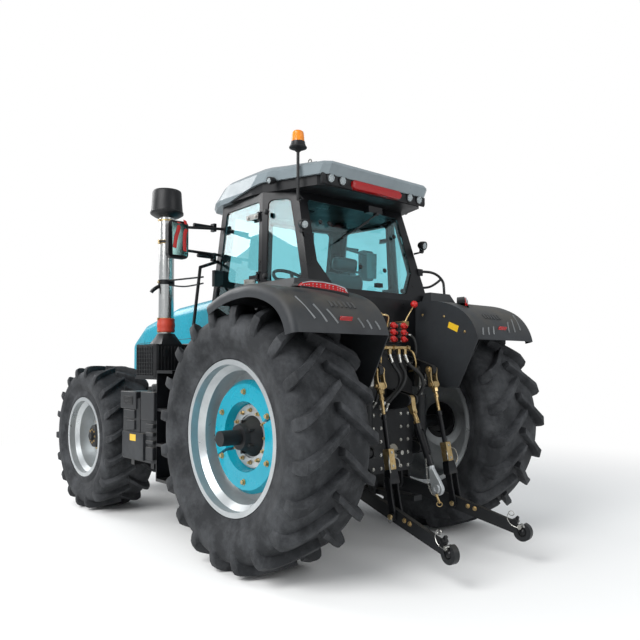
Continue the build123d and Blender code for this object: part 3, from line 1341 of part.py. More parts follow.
# Left lower link, in the upright plane that runs back along it: own X is along the link, own Y is height
link_run = Vector(CLAW_X - LINK_PIVOT_X, CLAW_Y - LINK_PIVOT_Y, 0)
link_plane = Plane(
    origin=(LINK_PIVOT_X, LINK_PIVOT_Y, 0), x_dir=link_run, z_dir=Vector(link_run.Y, -link_run.X, 0)
)
link_slope = link_run.length / (CLAW_X - LINK_PIVOT_X)
rod_eye_along = (ROD_EYE_X - LINK_PIVOT_X) * link_slope
ROD_EYE_Y = LINK_PIVOT_Y + (ROD_EYE_X - LINK_PIVOT_X) * link_run.Y / link_run.X
bar_circles = ((0, LINK_PIVOT_Z, 44), (rod_eye_along, ROD_EYE_Z, 50), (link_run.length - 60, CLAW_Z + 25, 42))
with BuildPart() as lower_link:
    with BuildSketch(link_plane):
        tapered(bar_circles)
    extrude(amount=LINK_THICKNESS / 2, both=True)
    with BuildSketch(link_plane):
        with Locations((link_run.length, CLAW_Z)):
            Circle(CLAW_RADIUS)
    extrude(amount=LINK_THICKNESS / 2 + 5, both=True)
    with BuildSketch(link_plane):
        with Locations((link_run.length, CLAW_Z)):
            Circle(BALL_SEAT_RADIUS)
            with Locations((-14, 50)):
                Rectangle(2 * BALL_SEAT_RADIUS, 110, rotation=16)
    extrude(amount=LINK_THICKNESS, both=True, mode=Mode.SUBTRACT)
    rod(
        (LINK_PIVOT_X, LINK_PIVOT_Y - 100, LINK_PIVOT_Z),
        (LINK_PIVOT_X, LINK_PIVOT_Y + 100, LINK_PIVOT_Z),
        LINK_PIN_RADIUS + CONTACT_GAP,
        mode=Mode.SUBTRACT,
    )
with BuildPart() as lower_links:
    add(lower_link.part)
    add(mirrored(lower_link.part))
save(lower_links.part, "lower_links")

# Lift rods: a fork on each arm's tip and another that hangs round the lower link
rod_top = Vector(ARM_TIP_X, ARM_Y, ARM_TIP_Z)
rod_foot = Vector(ROD_EYE_X, ROD_EYE_Y, ROD_EYE_Z)
rod_run = (rod_foot - rod_top).normalized()


def fork(pin, direction, middle_y, half_gap, reach, radius):
    """Two ears round a pin, joined by a bridge that starts at reach, with the pin's heads outside."""
    root = (pin.X + direction.X * reach, pin.Z + direction.Z * reach)
    for side in (1, -1):
        ear = sorted((middle_y + side * half_gap, middle_y + side * (half_gap + FORK_WALL)))
        plate(((pin.X, pin.Z, radius), (*root, radius)), ear)
        head = middle_y + side * (half_gap + FORK_WALL)
        rod((pin.X, head, pin.Z), (pin.X, head + side * 10, pin.Z), radius * 0.6)
    plate(
        ((*root, radius), (root[0] + direction.X * 15, root[1] + direction.Z * 15, radius)),
        (middle_y - half_gap - FORK_WALL, middle_y + half_gap + FORK_WALL),
    )


with BuildPart() as lift_rod:
    fork(rod_top, rod_run, ARM_Y, ARM_THICKNESS / 2 + FORK_GAP, 82, 30)
    rod((ARM_TIP_X, ARM_Y - 40, ARM_TIP_Z), (ARM_TIP_X, ARM_Y + 40, ARM_TIP_Z), ROD_PIN_RADIUS)
    fork(rod_foot, -rod_run, ROD_EYE_Y, LINK_THICKNESS / 2 + 2 * FORK_GAP, 105, 30)
    rod(rod_top + rod_run * 90, rod_foot - rod_run * 110, 19)
    with Locations(Plane(origin=rod_top + rod_run * 665, z_dir=rod_run)):
        Box(64, 56, 150)
with BuildPart() as lift_rods:
    add(lift_rod.part)
    add(mirrored(lift_rod.part))
save(lift_rods.part, "lift_rods")

# Lift cylinders: barrels on the housing's ears, rods whose forks hold the arms
CYLINDER_BARREL = 430
RAM_RADIUS = 25
cylinder_foot = Vector(CYLINDER_PIN_X, CYLINDER_Y, CYLINDER_PIN_Z)
cylinder_head = Vector(CYLINDER_PIN_X, CYLINDER_Y, CYLINDER_EYE_Z)
with BuildPart() as barrel:
    with Locations(cylinder_foot):
        Cylinder(34, 56, rotation=(90, 0, 0))
        Cylinder(20 + CONTACT_GAP, 80, rotation=(90, 0, 0), mode=Mode.SUBTRACT)
    rod(cylinder_foot + Vector(0, 0, 28), cylinder_foot + Vector(0, 0, 80), 26)
    rod(cylinder_foot + Vector(0, 0, 75), cylinder_foot + Vector(0, 0, CYLINDER_BARREL), 46)
    rod(
        cylinder_foot + Vector(0, 0, 120),
        cylinder_foot + Vector(0, 0, CYLINDER_BARREL + 20),
        RAM_RADIUS + CONTACT_GAP,
        mode=Mode.SUBTRACT,
    )
with BuildPart() as barrels:
    add(barrel.part)
    add(mirrored(barrel.part))
save(barrels.part, "lift_cylinders")
with BuildPart() as ram:
    fork(cylinder_head, Vector(0, 0, -1), CYLINDER_Y, ARM_THICKNESS / 2 + FORK_GAP, 105, 28)
    rod(cylinder_foot + Vector(0, 0, 130), cylinder_head - Vector(0, 0, 110), RAM_RADIUS)
with BuildPart() as rams:
    add(ram.part)
    add(mirrored(ram.part))
save(rams.part, "lift_cylinder_rods")

# Top link, hanging from its bracket
BALL_EYE_RADIUS = 38
TOP_BALL_BORE = 16
top_pin = Vector(TOP_PIN_X, 0, TOP_PIN_Z)
top_ball = Vector(TOP_BALL_X, 0, TOP_BALL_Z)
top_run = (top_ball - top_pin).normalized()
with BuildPart() as top_link:
    rod(top_pin, top_ball, 18)
    rod(top_pin + top_run * 170, top_ball - top_run * 170, 27)
    for eye in (top_pin, top_ball):
        with Locations(eye):
            Cylinder(BALL_EYE_RADIUS, 51, rotation=(90, 0, 0))
    for eye, bore in ((top_pin, 16 + CONTACT_GAP), (top_ball, TOP_BALL_BORE)):
        with Locations(eye):
            Cylinder(bore, 120, rotation=(90, 0, 0), mode=Mode.SUBTRACT)
save(top_link.part, "top_link")

# Remote couplers on a bracket above the lift housing
COUPLER_ROWS = 3
COUPLER_PITCH = 52
coupler_foot = ROCKSHAFT_Z + 60
with BuildPart() as couplers:
    box((ahead(-350), ahead(-310)), (-60, 140), (coupler_foot, coupler_foot + 300))
    for row in range(COUPLER_ROWS):
        for column in range(4):
            coupler_z = coupler_foot + 160 + row * COUPLER_PITCH
            coupler_y = -35 + column * 50
            rod((ahead(-350), coupler_y, coupler_z), (ahead(-450), coupler_y, coupler_z), 17)
save(couplers.part, "hydraulic_couplers")
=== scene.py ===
"""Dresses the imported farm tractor: tyres, cab fittings, lamps, seat, hitch gear and finishes."""

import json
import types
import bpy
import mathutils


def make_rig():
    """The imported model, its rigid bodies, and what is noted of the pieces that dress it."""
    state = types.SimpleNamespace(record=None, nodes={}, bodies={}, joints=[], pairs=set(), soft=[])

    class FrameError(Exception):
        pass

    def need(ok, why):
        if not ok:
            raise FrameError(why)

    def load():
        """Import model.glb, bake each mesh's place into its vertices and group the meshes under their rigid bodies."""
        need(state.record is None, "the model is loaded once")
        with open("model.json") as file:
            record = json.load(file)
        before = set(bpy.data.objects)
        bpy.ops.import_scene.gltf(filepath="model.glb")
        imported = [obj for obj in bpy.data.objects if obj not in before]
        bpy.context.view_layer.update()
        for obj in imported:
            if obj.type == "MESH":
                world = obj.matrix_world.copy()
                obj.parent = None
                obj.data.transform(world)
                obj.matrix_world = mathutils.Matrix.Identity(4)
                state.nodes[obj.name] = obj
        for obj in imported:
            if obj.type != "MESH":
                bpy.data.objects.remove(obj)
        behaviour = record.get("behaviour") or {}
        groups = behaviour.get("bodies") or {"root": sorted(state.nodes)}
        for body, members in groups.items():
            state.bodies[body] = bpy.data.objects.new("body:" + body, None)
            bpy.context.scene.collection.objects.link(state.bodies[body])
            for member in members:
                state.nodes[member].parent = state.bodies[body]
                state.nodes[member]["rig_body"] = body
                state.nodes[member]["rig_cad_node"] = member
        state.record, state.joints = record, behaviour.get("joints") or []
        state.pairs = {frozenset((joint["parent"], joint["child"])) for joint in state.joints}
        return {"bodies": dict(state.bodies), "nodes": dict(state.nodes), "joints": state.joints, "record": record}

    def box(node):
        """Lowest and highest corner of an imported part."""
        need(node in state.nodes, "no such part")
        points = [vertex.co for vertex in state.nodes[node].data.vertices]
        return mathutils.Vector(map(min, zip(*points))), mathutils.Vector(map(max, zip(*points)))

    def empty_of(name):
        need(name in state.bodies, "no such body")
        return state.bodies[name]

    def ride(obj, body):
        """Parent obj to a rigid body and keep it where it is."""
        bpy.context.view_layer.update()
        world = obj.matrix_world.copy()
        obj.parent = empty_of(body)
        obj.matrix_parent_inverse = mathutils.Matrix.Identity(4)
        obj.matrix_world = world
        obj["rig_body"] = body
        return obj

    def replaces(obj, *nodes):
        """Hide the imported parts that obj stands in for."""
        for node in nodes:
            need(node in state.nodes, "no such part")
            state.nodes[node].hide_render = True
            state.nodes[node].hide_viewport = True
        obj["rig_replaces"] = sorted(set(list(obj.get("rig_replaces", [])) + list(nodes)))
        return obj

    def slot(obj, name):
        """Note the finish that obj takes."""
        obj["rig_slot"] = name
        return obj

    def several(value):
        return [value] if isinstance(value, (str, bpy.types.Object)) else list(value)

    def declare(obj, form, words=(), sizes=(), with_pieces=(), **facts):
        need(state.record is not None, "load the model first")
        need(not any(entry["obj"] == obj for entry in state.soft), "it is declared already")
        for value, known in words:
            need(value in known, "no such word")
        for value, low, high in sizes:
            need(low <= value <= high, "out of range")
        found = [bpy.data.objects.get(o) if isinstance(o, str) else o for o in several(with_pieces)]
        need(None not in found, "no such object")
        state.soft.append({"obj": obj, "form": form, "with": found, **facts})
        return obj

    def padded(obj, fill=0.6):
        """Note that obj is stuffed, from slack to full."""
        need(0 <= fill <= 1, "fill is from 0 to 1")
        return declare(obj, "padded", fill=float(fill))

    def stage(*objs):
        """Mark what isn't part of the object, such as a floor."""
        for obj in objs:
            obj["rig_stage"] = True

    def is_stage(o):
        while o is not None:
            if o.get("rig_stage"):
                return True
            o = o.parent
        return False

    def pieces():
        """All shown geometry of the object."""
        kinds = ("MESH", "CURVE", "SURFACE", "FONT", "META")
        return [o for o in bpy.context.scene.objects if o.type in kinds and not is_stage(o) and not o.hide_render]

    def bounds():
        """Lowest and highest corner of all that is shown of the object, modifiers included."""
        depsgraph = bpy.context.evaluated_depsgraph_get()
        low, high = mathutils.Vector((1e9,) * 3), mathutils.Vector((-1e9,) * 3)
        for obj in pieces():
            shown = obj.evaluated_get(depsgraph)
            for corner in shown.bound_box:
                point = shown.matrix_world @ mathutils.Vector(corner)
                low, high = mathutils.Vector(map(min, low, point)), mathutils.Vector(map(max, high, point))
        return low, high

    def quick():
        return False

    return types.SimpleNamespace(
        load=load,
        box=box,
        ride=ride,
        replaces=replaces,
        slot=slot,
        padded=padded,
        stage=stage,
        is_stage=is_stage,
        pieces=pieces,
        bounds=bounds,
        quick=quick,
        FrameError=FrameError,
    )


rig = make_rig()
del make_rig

bl_info = {
    "name": "Farm tractor dressing", "version": (1, 0, 0), "blender": (4, 5, 0),
    "location": "3D View > Sidebar > Tractor",
    "description": "Makes the tractor's detailed pieces and finishes round the packed model",
    "category": "Object",
}

import json
import sys
from math import cos, pi, radians, sin

import bmesh
import bpy
from bpy.props import FloatVectorProperty, IntProperty, PointerProperty
from mathutils import Matrix, Vector
from mathutils.bvhtree import BVHTree

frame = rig.load()
NODES = frame["nodes"]
RECORD = frame["record"]
JOINTS = {joint["name"]: joint for joint in frame["joints"]}
CAD_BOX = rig.bounds()
SIDES = (("left", 1), ("right", -1))
REAR_AXLE, FRONT_AXLE = (
    Vector((JOINTS[f"{end}_wheel_left_spin"]["pos_m"][0], 0, JOINTS[f"{end}_wheel_left_spin"]["pos_m"][2]))
    for end in ("rear", "front")
)


def linear(hex_colour):
    """The linear RGBA value of an sRGB hex colour."""
    channels = [int(hex_colour[i : i + 2], 16) / 255 for i in (1, 3, 5)]
    return (*[c / 12.92 if c <= 0.04045 else ((c + 0.055) / 1.055) ** 2.4 for c in channels], 1.0)


def add_node(tree, kind, links=None, **settings):
    """A node with its settings; links gives each input a value or another node's output."""
    made = tree.nodes.new(kind)
    for key, value in settings.items():
        setattr(made, key, value)
    for key, value in (links or {}).items():
        if isinstance(value, bpy.types.NodeSocket):
            tree.links.new(value, made.inputs[key])
        else:
            made.inputs[key].default_value = value
    return made


def set_inputs(shader, **values):
    """Set inputs of a shader, with spaces in their names written as underscores."""
    for name, value in values.items():
        shader.inputs[name.replace("_", " ")].default_value = value


# Finishes
FINISHES = {}


def new_finish(name):
    """An empty material and its Principled shader."""
    made = bpy.data.materials.new(name)
    made.use_nodes = True
    FINISHES[name] = made
    return made.node_tree, made.node_tree.nodes["Principled BSDF"]


def place(tree, stretch=(1, 1, 1)):
    """Object coordinates, in metres, stretched along an axis where a process leaves a direction."""
    where = add_node(tree, "ShaderNodeTexCoord")
    return add_node(
        tree, "ShaderNodeMapping", {"Vector": where.outputs["Object"], "Scale": stretch}
    ).outputs[0]


def noise(tree, where, scale, detail, roughness=0.5, distortion=0.0):
    """A fractal noise of so many features to a metre."""
    links = {
        "Vector": where, "Scale": scale, "Detail": detail, "Roughness": roughness, "Distortion": distortion
    }
    return add_node(tree, "ShaderNodeTexNoise", links).outputs["Fac"]


def ranged(tree, value, start, end, low=0.0, high=1.0, **settings):
    """A value between start and end, mapped to between low and high."""
    links = {"Value": value, "From Min": start, "From Max": end, "To Min": low, "To Max": high}
    return add_node(tree, "ShaderNodeMapRange", links, **settings).outputs[0]


def mixed(tree, share, first, second):
    """The first colour, or the second where share is one."""
    return add_node(tree, "ShaderNodeMixRGB", {"Fac": share, "Color1": first, "Color2": second}).outputs[0]


def multiplied(tree, first, second):
    """The product of two values."""
    return add_node(tree, "ShaderNodeMath", {0: first, 1: second}, operation="MULTIPLY").outputs[0]


def emboss(tree, shader, height, distance, strength=1.0):
    """Bumps on a shader's surface; distance in metres."""
    bump = add_node(tree, "ShaderNodeBump", {"Height": height, "Distance": distance, "Strength": strength})
    tree.links.new(bump.outputs[0], shader.inputs["Normal"])


DUST = "#8d8676"


def coated(
    name, colour, worn, grain_mm, bump_mm, roughness, metallic=0.0, patch_mm=260, stretch=(1, 1, 1),
    dust_share=0.25, coat=0.0, specular=0.5,
):
    """A finish with a fine grain, a slow change of colour in patches, and dust on what faces up."""
    tree, shader = new_finish(name)
    where = place(tree, stretch)
    grain = noise(tree, where, 1000 / grain_mm, 3.0, 0.6)
    patches = noise(tree, where, 1000 / patch_mm, 6.0, 0.65)
    patchy = ranged(tree, patches, 0.36, 0.68)
    tint = mixed(tree, patchy, linear(colour), linear(worn))
    normal = add_node(tree, "ShaderNodeNewGeometry").outputs["Normal"]
    upward = add_node(tree, "ShaderNodeSeparateXYZ", {"Vector": normal}).outputs["Z"]
    settled = multiplied(tree, ranged(tree, upward, 0.25, 1.0, 0.0, dust_share), patchy)
    tree.links.new(mixed(tree, settled, tint, linear(DUST)), shader.inputs["Base Color"])
    sheen = ranged(tree, patches, 0.3, 0.7, max(0.04, roughness - 0.09), min(1.0, roughness + 0.12))
    tree.links.new(sheen, shader.inputs["Roughness"])
    emboss(tree, shader, grain, bump_mm / 1000)
    set_inputs(shader, Metallic=metallic, Coat_Weight=coat, Specular_IOR_Level=specular)


def make_finishes():
    """The coated finishes on the machine, named for the material and how its surface is made."""
    # Two-pack enamel on pressed steel: an even turquoise gloss with slight orange peel
    coated("turquoise_enamel", "#0096ad", "#008ca2", 9, 0.04, 0.26, coat=0.12, dust_share=0.04, specular=0.35)
    # Silver paint on rolled steel rims: a dull metallic grey, greyer where dust sticks
    coated("silver_rim_paint", "#b9bdbe", "#a5a9ab", 5, 0.04, 0.34, metallic=0.65, dust_share=0.12)
    # Near-black paint on sand-cast iron: a visible sandy grain under a satin film
    coated("painted_casting", "#1c1e20", "#121315", 7, 0.5, 0.45, dust_share=0.12, specular=0.3)
    # Black powder coat on welded steel: fine texture and low sheen
    coated("black_powder_coat", "#0b0c0e", "#121316", 3, 0.06, 0.32, dust_share=0.04, specular=0.28)
    # Bare and lightly painted cast iron of the ballast
    coated("ballast_iron", "#33363a", "#25272a", 9, 0.7, 0.58, dust_share=0.4)
    # Turned steel: bright, with a fine lay round the axis
    coated("turned_steel", "#b4b4b0", "#96958f", 2, 0.03, 0.28, metallic=1.0, dust_share=0.15)
    # Brushed stainless tube: streaks along the pipe
    coated(
        "brushed_stainless", "#dcdcda", "#c9cac8", 3, 0.02, 0.20, metallic=1.0, patch_mm=90,
        stretch=(6, 6, 0.25), dust_share=0.05,
    )
    # Yellow-passivated zinc plate: pale gold with browner patches
    coated(
        "passivated_zinc", "#c4ad80", "#a08658", 2.5, 0.03, 0.34, metallic=0.9, patch_mm=40, dust_share=0.1
    )
    # Dark grained polypropylene mouldings of the fenders: grey where light scrapes the grain
    coated("grained_polypropylene", "#2b2e31", "#222427", 2.2, 0.25, 0.50, dust_share=0.28, specular=0.35)
    # Smooth black plastic housings
    coated("black_moulding", "#121315", "#1a1b1d", 1.8, 0.10, 0.42, dust_share=0.08, specular=0.3)
    # Rotary-moulded polyethylene tank: waxy black with a soft bloom
    coated("rotomoulded_polyethylene", "#15171a", "#1f2124", 4, 0.12, 0.42, dust_share=0.2, specular=0.4)
    # Painted roof shell: silver-grey, semi-gloss
    coated("silver_roof_shell", "#7b868b", "#707b80", 6, 0.04, 0.34, coat=0.25, dust_share=0.1)
    # Silicone hose at the foot of the intake pipe: matt red
    coated("red_silicone", "#b5371f", "#9c301d", 3, 0.10, 0.55, dust_share=0.15)
    # Rubber hoses, boots and window gaskets
    coated("hose_rubber", "#191a1b", "#242525", 2.5, 0.12, 0.6, dust_share=0.2, specular=0.35)
    # Red plastic caps, knobs and ribbons
    coated("red_cap_plastic", "#c01613", "#a51410", 3, 0.05, 0.42, dust_share=0.1)
    # Blank yellow vinyl labels
    coated("yellow_vinyl", "#e0b62a", "#d3a823", 4, 0.02, 0.4, dust_share=0.1)
    # Edges of moulded slots, scuffed to a paler grey
    coated("worn_plastic_edge", "#6f7274", "#55585a", 4, 0.05, 0.5, dust_share=0.1)
    # Silvered plate and mirror glass
    coated("mirror_glass", "#6f8b88", "#64807d", 60, 0.0, 0.06, metallic=1.0, dust_share=0.05)


def rubber_finish():
    """Moulded tyre rubber: near black, greyed by dust in broad patches."""
    tree, shader = new_finish("moulded_tyre_rubber")
    where = place(tree)
    fine = noise(tree, where, 180.0, 4.0, 0.7)
    dust = ranged(tree, noise(tree, where, 5.0, 8.0, 0.7), 0.42, 0.72, 0.0, 0.55)
    grey = mixed(tree, dust, linear("#1c1e21"), linear("#55575a"))
    tree.links.new(grey, shader.inputs["Base Color"])
    emboss(tree, shader, fine, 0.0006)
    set_inputs(shader, Roughness=0.74, Specular_IOR_Level=0.35)


def clear_finish(name, colour, alpha, roughness, rib_mm=0.0, transmission=0.0):
    """Glass or clear plastic: its tint, how much it hides, and the moulded ribs that scatter its light."""
    tree, shader = new_finish(name)
    set_inputs(shader, Base_Color=linear(colour), Alpha=alpha, Roughness=roughness)
    set_inputs(shader, Transmission_Weight=transmission, Specular_IOR_Level=0.6)
    if rib_mm:
        links = {"Vector": place(tree), "Scale": 314 / rib_mm, "Distortion": 0.0}
        ribs = add_node(tree, "ShaderNodeTexWave", links, bands_direction="Z")
        emboss(tree, shader, ribs.outputs["Fac"], 0.0015, 0.8)


def cloth_finish():
    """Woven seat cloth under a thin polythene cover: a 1.5 mm weave drawn at 4 mm so that it shows."""
    tree, shader = new_finish("covered_seat_cloth")
    where = place(tree)
    weave = add_node(tree, "ShaderNodeTexChecker", {"Vector": where, "Scale": 250.0})
    creases = noise(tree, where, 22.0, 5.0, distortion=1.2)
    tone = mixed(tree, weave.outputs["Fac"], linear("#2b2c2f"), linear("#3a3b3e"))
    tree.links.new(tone, shader.inputs["Base Color"])
    emboss(tree, shader, creases, 0.012, 0.6)
    set_inputs(shader, Roughness=0.6, Coat_Weight=0.5, Coat_Roughness=0.2, Sheen_Weight=0.3)


# Mesh tools
class Shape:
    """Faces gathered for one piece, in metres in the machine's frame. What adds faces returns the shape."""

    def __init__(self):
        self.mesh = bmesh.new()

    def rings(self, rings, closed=False, capped=True):
        """Skin a row of rings, each a list of points."""
        rows = [[self.mesh.verts.new(point) for point in ring] for ring in rings]
        pairs = list(zip(rows, rows[1:])) + ([(rows[-1], rows[0])] if closed else [])
        for row, following in pairs:
            for i in range(len(row)):
                self.mesh.faces.new((row[i - 1], row[i], following[i], following[i - 1]))
        if capped and not closed:
            self.mesh.faces.new(rows[0])
            self.mesh.faces.new(reversed(rows[-1]))
        return self

    def box(self, low, high, turn=None):
        """A block between two corners, turned about its middle if turn is a matrix."""
        low, high = Vector(low), Vector(high)
        middle, half = (low + high) / 2, (high - low) / 2
        turn = turn or Matrix.Identity(3)
        ends = []
        for across in (-1, 1):
            corners = ((-1, -1), (1, -1), (1, 1), (-1, 1))
            ends.append(
                [middle + turn @ Vector((across * half.x, y * half.y, z * half.z)) for y, z in corners]
            )
        return self.rings(ends)

    def prism(self, outline, start, end, axis="Y"):
        """An outline pushed along Y (points are X, Z), along X (Y, Z) or along Z (X, Y)."""
        order = {
            "X": lambda u, v, w: (w, u, v), "Y": lambda u, v, w: (u, w, v), "Z": lambda u, v, w: (u, v, w)
        }[axis]
        return self.rings([[order(u, v, w) for u, v in outline] for w in (start, end)])

    def turned(self, profile, centre, axis=(0, 1, 0), sides=48, closed=False):
        """A profile of radius and distance along an axis through centre, turned all the way round."""
        aim = Vector(axis).to_track_quat("Z", "X").to_matrix()
        rings = []
        for radius, along in profile:
            ring = []
            for i in range(sides):
                angle = 2 * pi * i / sides
                ring.append(Vector(centre) + aim @ Vector((radius * cos(angle), radius * sin(angle), along)))
            rings.append(ring)
        return self.rings(rings, closed=closed, capped=not closed)

    def tube(self, points, radius, sides=12):
        """A round tube along points, with its ring turned the least from one point to the next."""
        points = [Vector(point) for point in points]
        runs = [(b - a).normalized() for a, b in zip(points, points[1:])]
        aims = [runs[0]] + [(a + b).normalized() for a, b in zip(runs, runs[1:])] + [runs[-1]]
        side = aims[0].orthogonal().normalized()
        rings = []
        for point, aim in zip(points, aims):
            side = (side - aim * side.dot(aim)).normalized()
            other = aim.cross(side)
            rings.append(
                [
                    point + radius * (cos(2 * pi * i / sides) * side + sin(2 * pi * i / sides) * other)
                    for i in range(sides)
                ],
            )
        return self.rings(rings)

    def hose(self, points, radius, sides=12, steps=40):
        """A tube along the smooth curve that a row of points controls."""
        return self.tube(smooth_path(points, steps), radius, sides)

    def bolt(self, seat, axis, radius, height):
        """A hexagon head on its washer."""
        aim = Vector(axis).normalized()
        self.turned([(radius * 1.3, 0), (radius * 1.3, height * 0.2)], seat, aim, 18)
        return self.turned(
            [(radius, height * 0.2), (radius, height * 0.9), (radius * 0.85, height)], seat, aim, 6
        )

    def take(self, mesh):
        """Take in the faces of a finished mesh."""
        self.mesh.from_mesh(mesh)
        bpy.data.meshes.remove(mesh)

    def to_mesh(self, name):
        """The gathered faces as one mesh, with doubled points merged and its faces turned outward."""
        bmesh.ops.remove_doubles(self.mesh, verts=self.mesh.verts, dist=1e-6)
        bmesh.ops.recalc_face_normals(self.mesh, faces=self.mesh.faces)
        made = bpy.data.meshes.new(name)
        self.mesh.to_mesh(made)
        self.mesh.free()
        return made


def smooth_path(points, steps):
    """Points along the quadratic spline that a row of control points draws."""
    points = [Vector(point) for point in points]
    middles = [points[0]] + [(a + b) / 2 for a, b in zip(points[1:], points[2:-1])] + [points[-1]]
    each = max(2, steps // (len(points) - 2))
    path = [points[0]]
    for start, control, end in zip(middles, points[1:-1], middles[1:]):
        for i in range(1, each + 1):
            t = i / each
            path.append((1 - t) ** 2 * start + 2 * t * (1 - t) * control + t * t * end)
    return path


def added(name, data):
    """A new object in the scene."""
    made = bpy.data.objects.new(name, data)
    bpy.context.scene.collection.objects.link(made)
    return made


def evaluated_mesh(made):
    """The mesh of an object as its modifiers leave it."""
    return bpy.data.meshes.new_from_object(made.evaluated_get(bpy.context.evaluated_depsgraph_get()))


def surface_of(made):
    """A tree of an object's faces, to cast rays on and to lay things on."""
    return BVHTree.FromPolygons([v.co for v in made.data.vertices], [p.vertices for p in made.data.polygons])


def circle(centre, across, up, steps=16):
    """Points once round a closed ring, its first point again at the end; across and up are its two radii."""
    turns = [2 * pi * i / steps for i in range(steps + 1)]
    return [tuple(c + a * cos(turn) + b * sin(turn) for c, a, b in zip(centre, across, up)) for turn in turns]


def rounded_corners(half_x, half_y, radius):
    """Offsets round a rectangle with rounded corners, five to a corner."""
    offsets = []
    for corner, (sx, sy) in enumerate(((1, 1), (-1, 1), (-1, -1), (1, -1))):
        for step in range(5):
            turn = (corner + step / 4) * pi / 2
            offsets.append(
                (sx * (half_x - radius) + radius * cos(turn), sy * (half_y - radius) + radius * sin(turn))
            )
    return offsets


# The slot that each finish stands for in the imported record
SLOTS = {
    "moulded_tyre_rubber": "tyre_rubber",
    "silver_rim_paint": "rim_paint", "painted_casting": "cast_paint", "black_powder_coat": "black_paint",
    "turned_steel": "steel", "mirror_glass": "steel", "passivated_zinc": "plated",
    "grained_polypropylene": "fender_plastic",
    "worn_plastic_edge": "fender_plastic",
    "silver_roof_shell": "roof_plastic",
    "red_lens": "red_plastic", "red_silicone": "red_plastic", "red_cap_plastic": "red_plastic",
    "amber_lens": "amber_plastic", "clear_lens": "lamp_glass", "black_moulding": "black_plastic",
    "rotomoulded_polyethylene": "black_plastic",
    "hose_rubber": "black_plastic", "yellow_vinyl": "black_plastic",
}


def finish_piece(shape, name, finish, body="chassis", slot=None, bevel=0.0, smooth=35, segments=2):
    """Turn a shape into a named object that rides on a body, with its finish and its slot."""
    slot = slot or SLOTS[finish]
    piece = added(name, shape.to_mesh(name))
    piece.data.materials.append(FINISHES[finish])
    if bevel:
        edges = piece.modifiers.new("edges", "BEVEL")
        edges.width = bevel
        edges.segments = segments
        edges.limit_method = "ANGLE"
        edges.angle_limit = radians(35)
    piece.data.shade_smooth()
    sharp = bmesh.new()
    sharp.from_mesh(piece.data)
    for edge in sharp.edges:
        if len(edge.link_faces) != 2 or edge.calc_face_angle(0) > radians(smooth):
            edge.smooth = False
    sharp.to_mesh(piece.data)
    sharp.free()
    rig.ride(piece, body)
    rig.slot(piece, slot)
    return piece


# Repeats, made by Geometry Nodes
def repeat_tree(name, inputs):
    """An empty tree with a geometry input and output and these named inputs."""
    tree = bpy.data.node_groups.new(name, "GeometryNodeTree")
    tree.interface.new_socket("Geometry", in_out="INPUT", socket_type="NodeSocketGeometry")
    for label, kind in inputs:
        tree.interface.new_socket(label, in_out="INPUT", socket_type=kind)
    tree.interface.new_socket("Geometry", in_out="OUTPUT", socket_type="NodeSocketGeometry")
    return tree


def end_tree(tree, copies):
    """Realise the copies and send them out."""
    solid = add_node(tree, "GeometryNodeRealizeInstances", {"Geometry": copies})
    add_node(tree, "NodeGroupOutput", {"Geometry": solid.outputs[0]})


def ring_tree():
    """Copies of a piece turned evenly round an axis along Y through a centre."""
    tree = repeat_tree("copies round an axle", (("Count", "NodeSocketInt"), ("Centre", "NodeSocketVector")))
    given = add_node(tree, "NodeGroupInput")
    seat = add_node(tree, "GeometryNodeMeshLine", {"Count": given.outputs["Count"], "Offset": (0, 0, 0)})
    away = add_node(
        tree, "ShaderNodeVectorMath", {0: given.outputs["Centre"], "Scale": -1.0}, operation="SCALE"
    )
    moved = add_node(
        tree, "GeometryNodeTransform", {"Geometry": given.outputs["Geometry"], "Translation": away.outputs[0]}
    )
    index = add_node(tree, "GeometryNodeInputIndex").outputs[0]
    share = add_node(tree, "ShaderNodeMath", {0: index, 1: given.outputs["Count"]}, operation="DIVIDE")
    turn = add_node(tree, "ShaderNodeCombineXYZ", {"Y": multiplied(tree, share.outputs[0], 2 * pi)})
    copies = add_node(
        tree, "GeometryNodeInstanceOnPoints",
        {"Points": seat.outputs[0], "Instance": moved.outputs[0], "Rotation": turn.outputs[0]},
    )
    back = add_node(
        tree, "GeometryNodeTransform", {"Geometry": copies.outputs[0], "Translation": given.outputs["Centre"]}
    )
    end_tree(tree, back.outputs[0])
    return tree


def row_tree():
    """Copies of a piece in a straight row."""
    tree = repeat_tree("copies in a row", (("Count", "NodeSocketInt"), ("Step", "NodeSocketVector")))
    given = add_node(tree, "NodeGroupInput")
    seats = add_node(
        tree, "GeometryNodeMeshLine", {"Count": given.outputs["Count"], "Offset": given.outputs["Step"]}
    )
    copies = add_node(
        tree, "GeometryNodeInstanceOnPoints",
        {"Points": seats.outputs[0], "Instance": given.outputs["Geometry"]},
    )
    end_tree(tree, copies.outputs[0])
    return tree


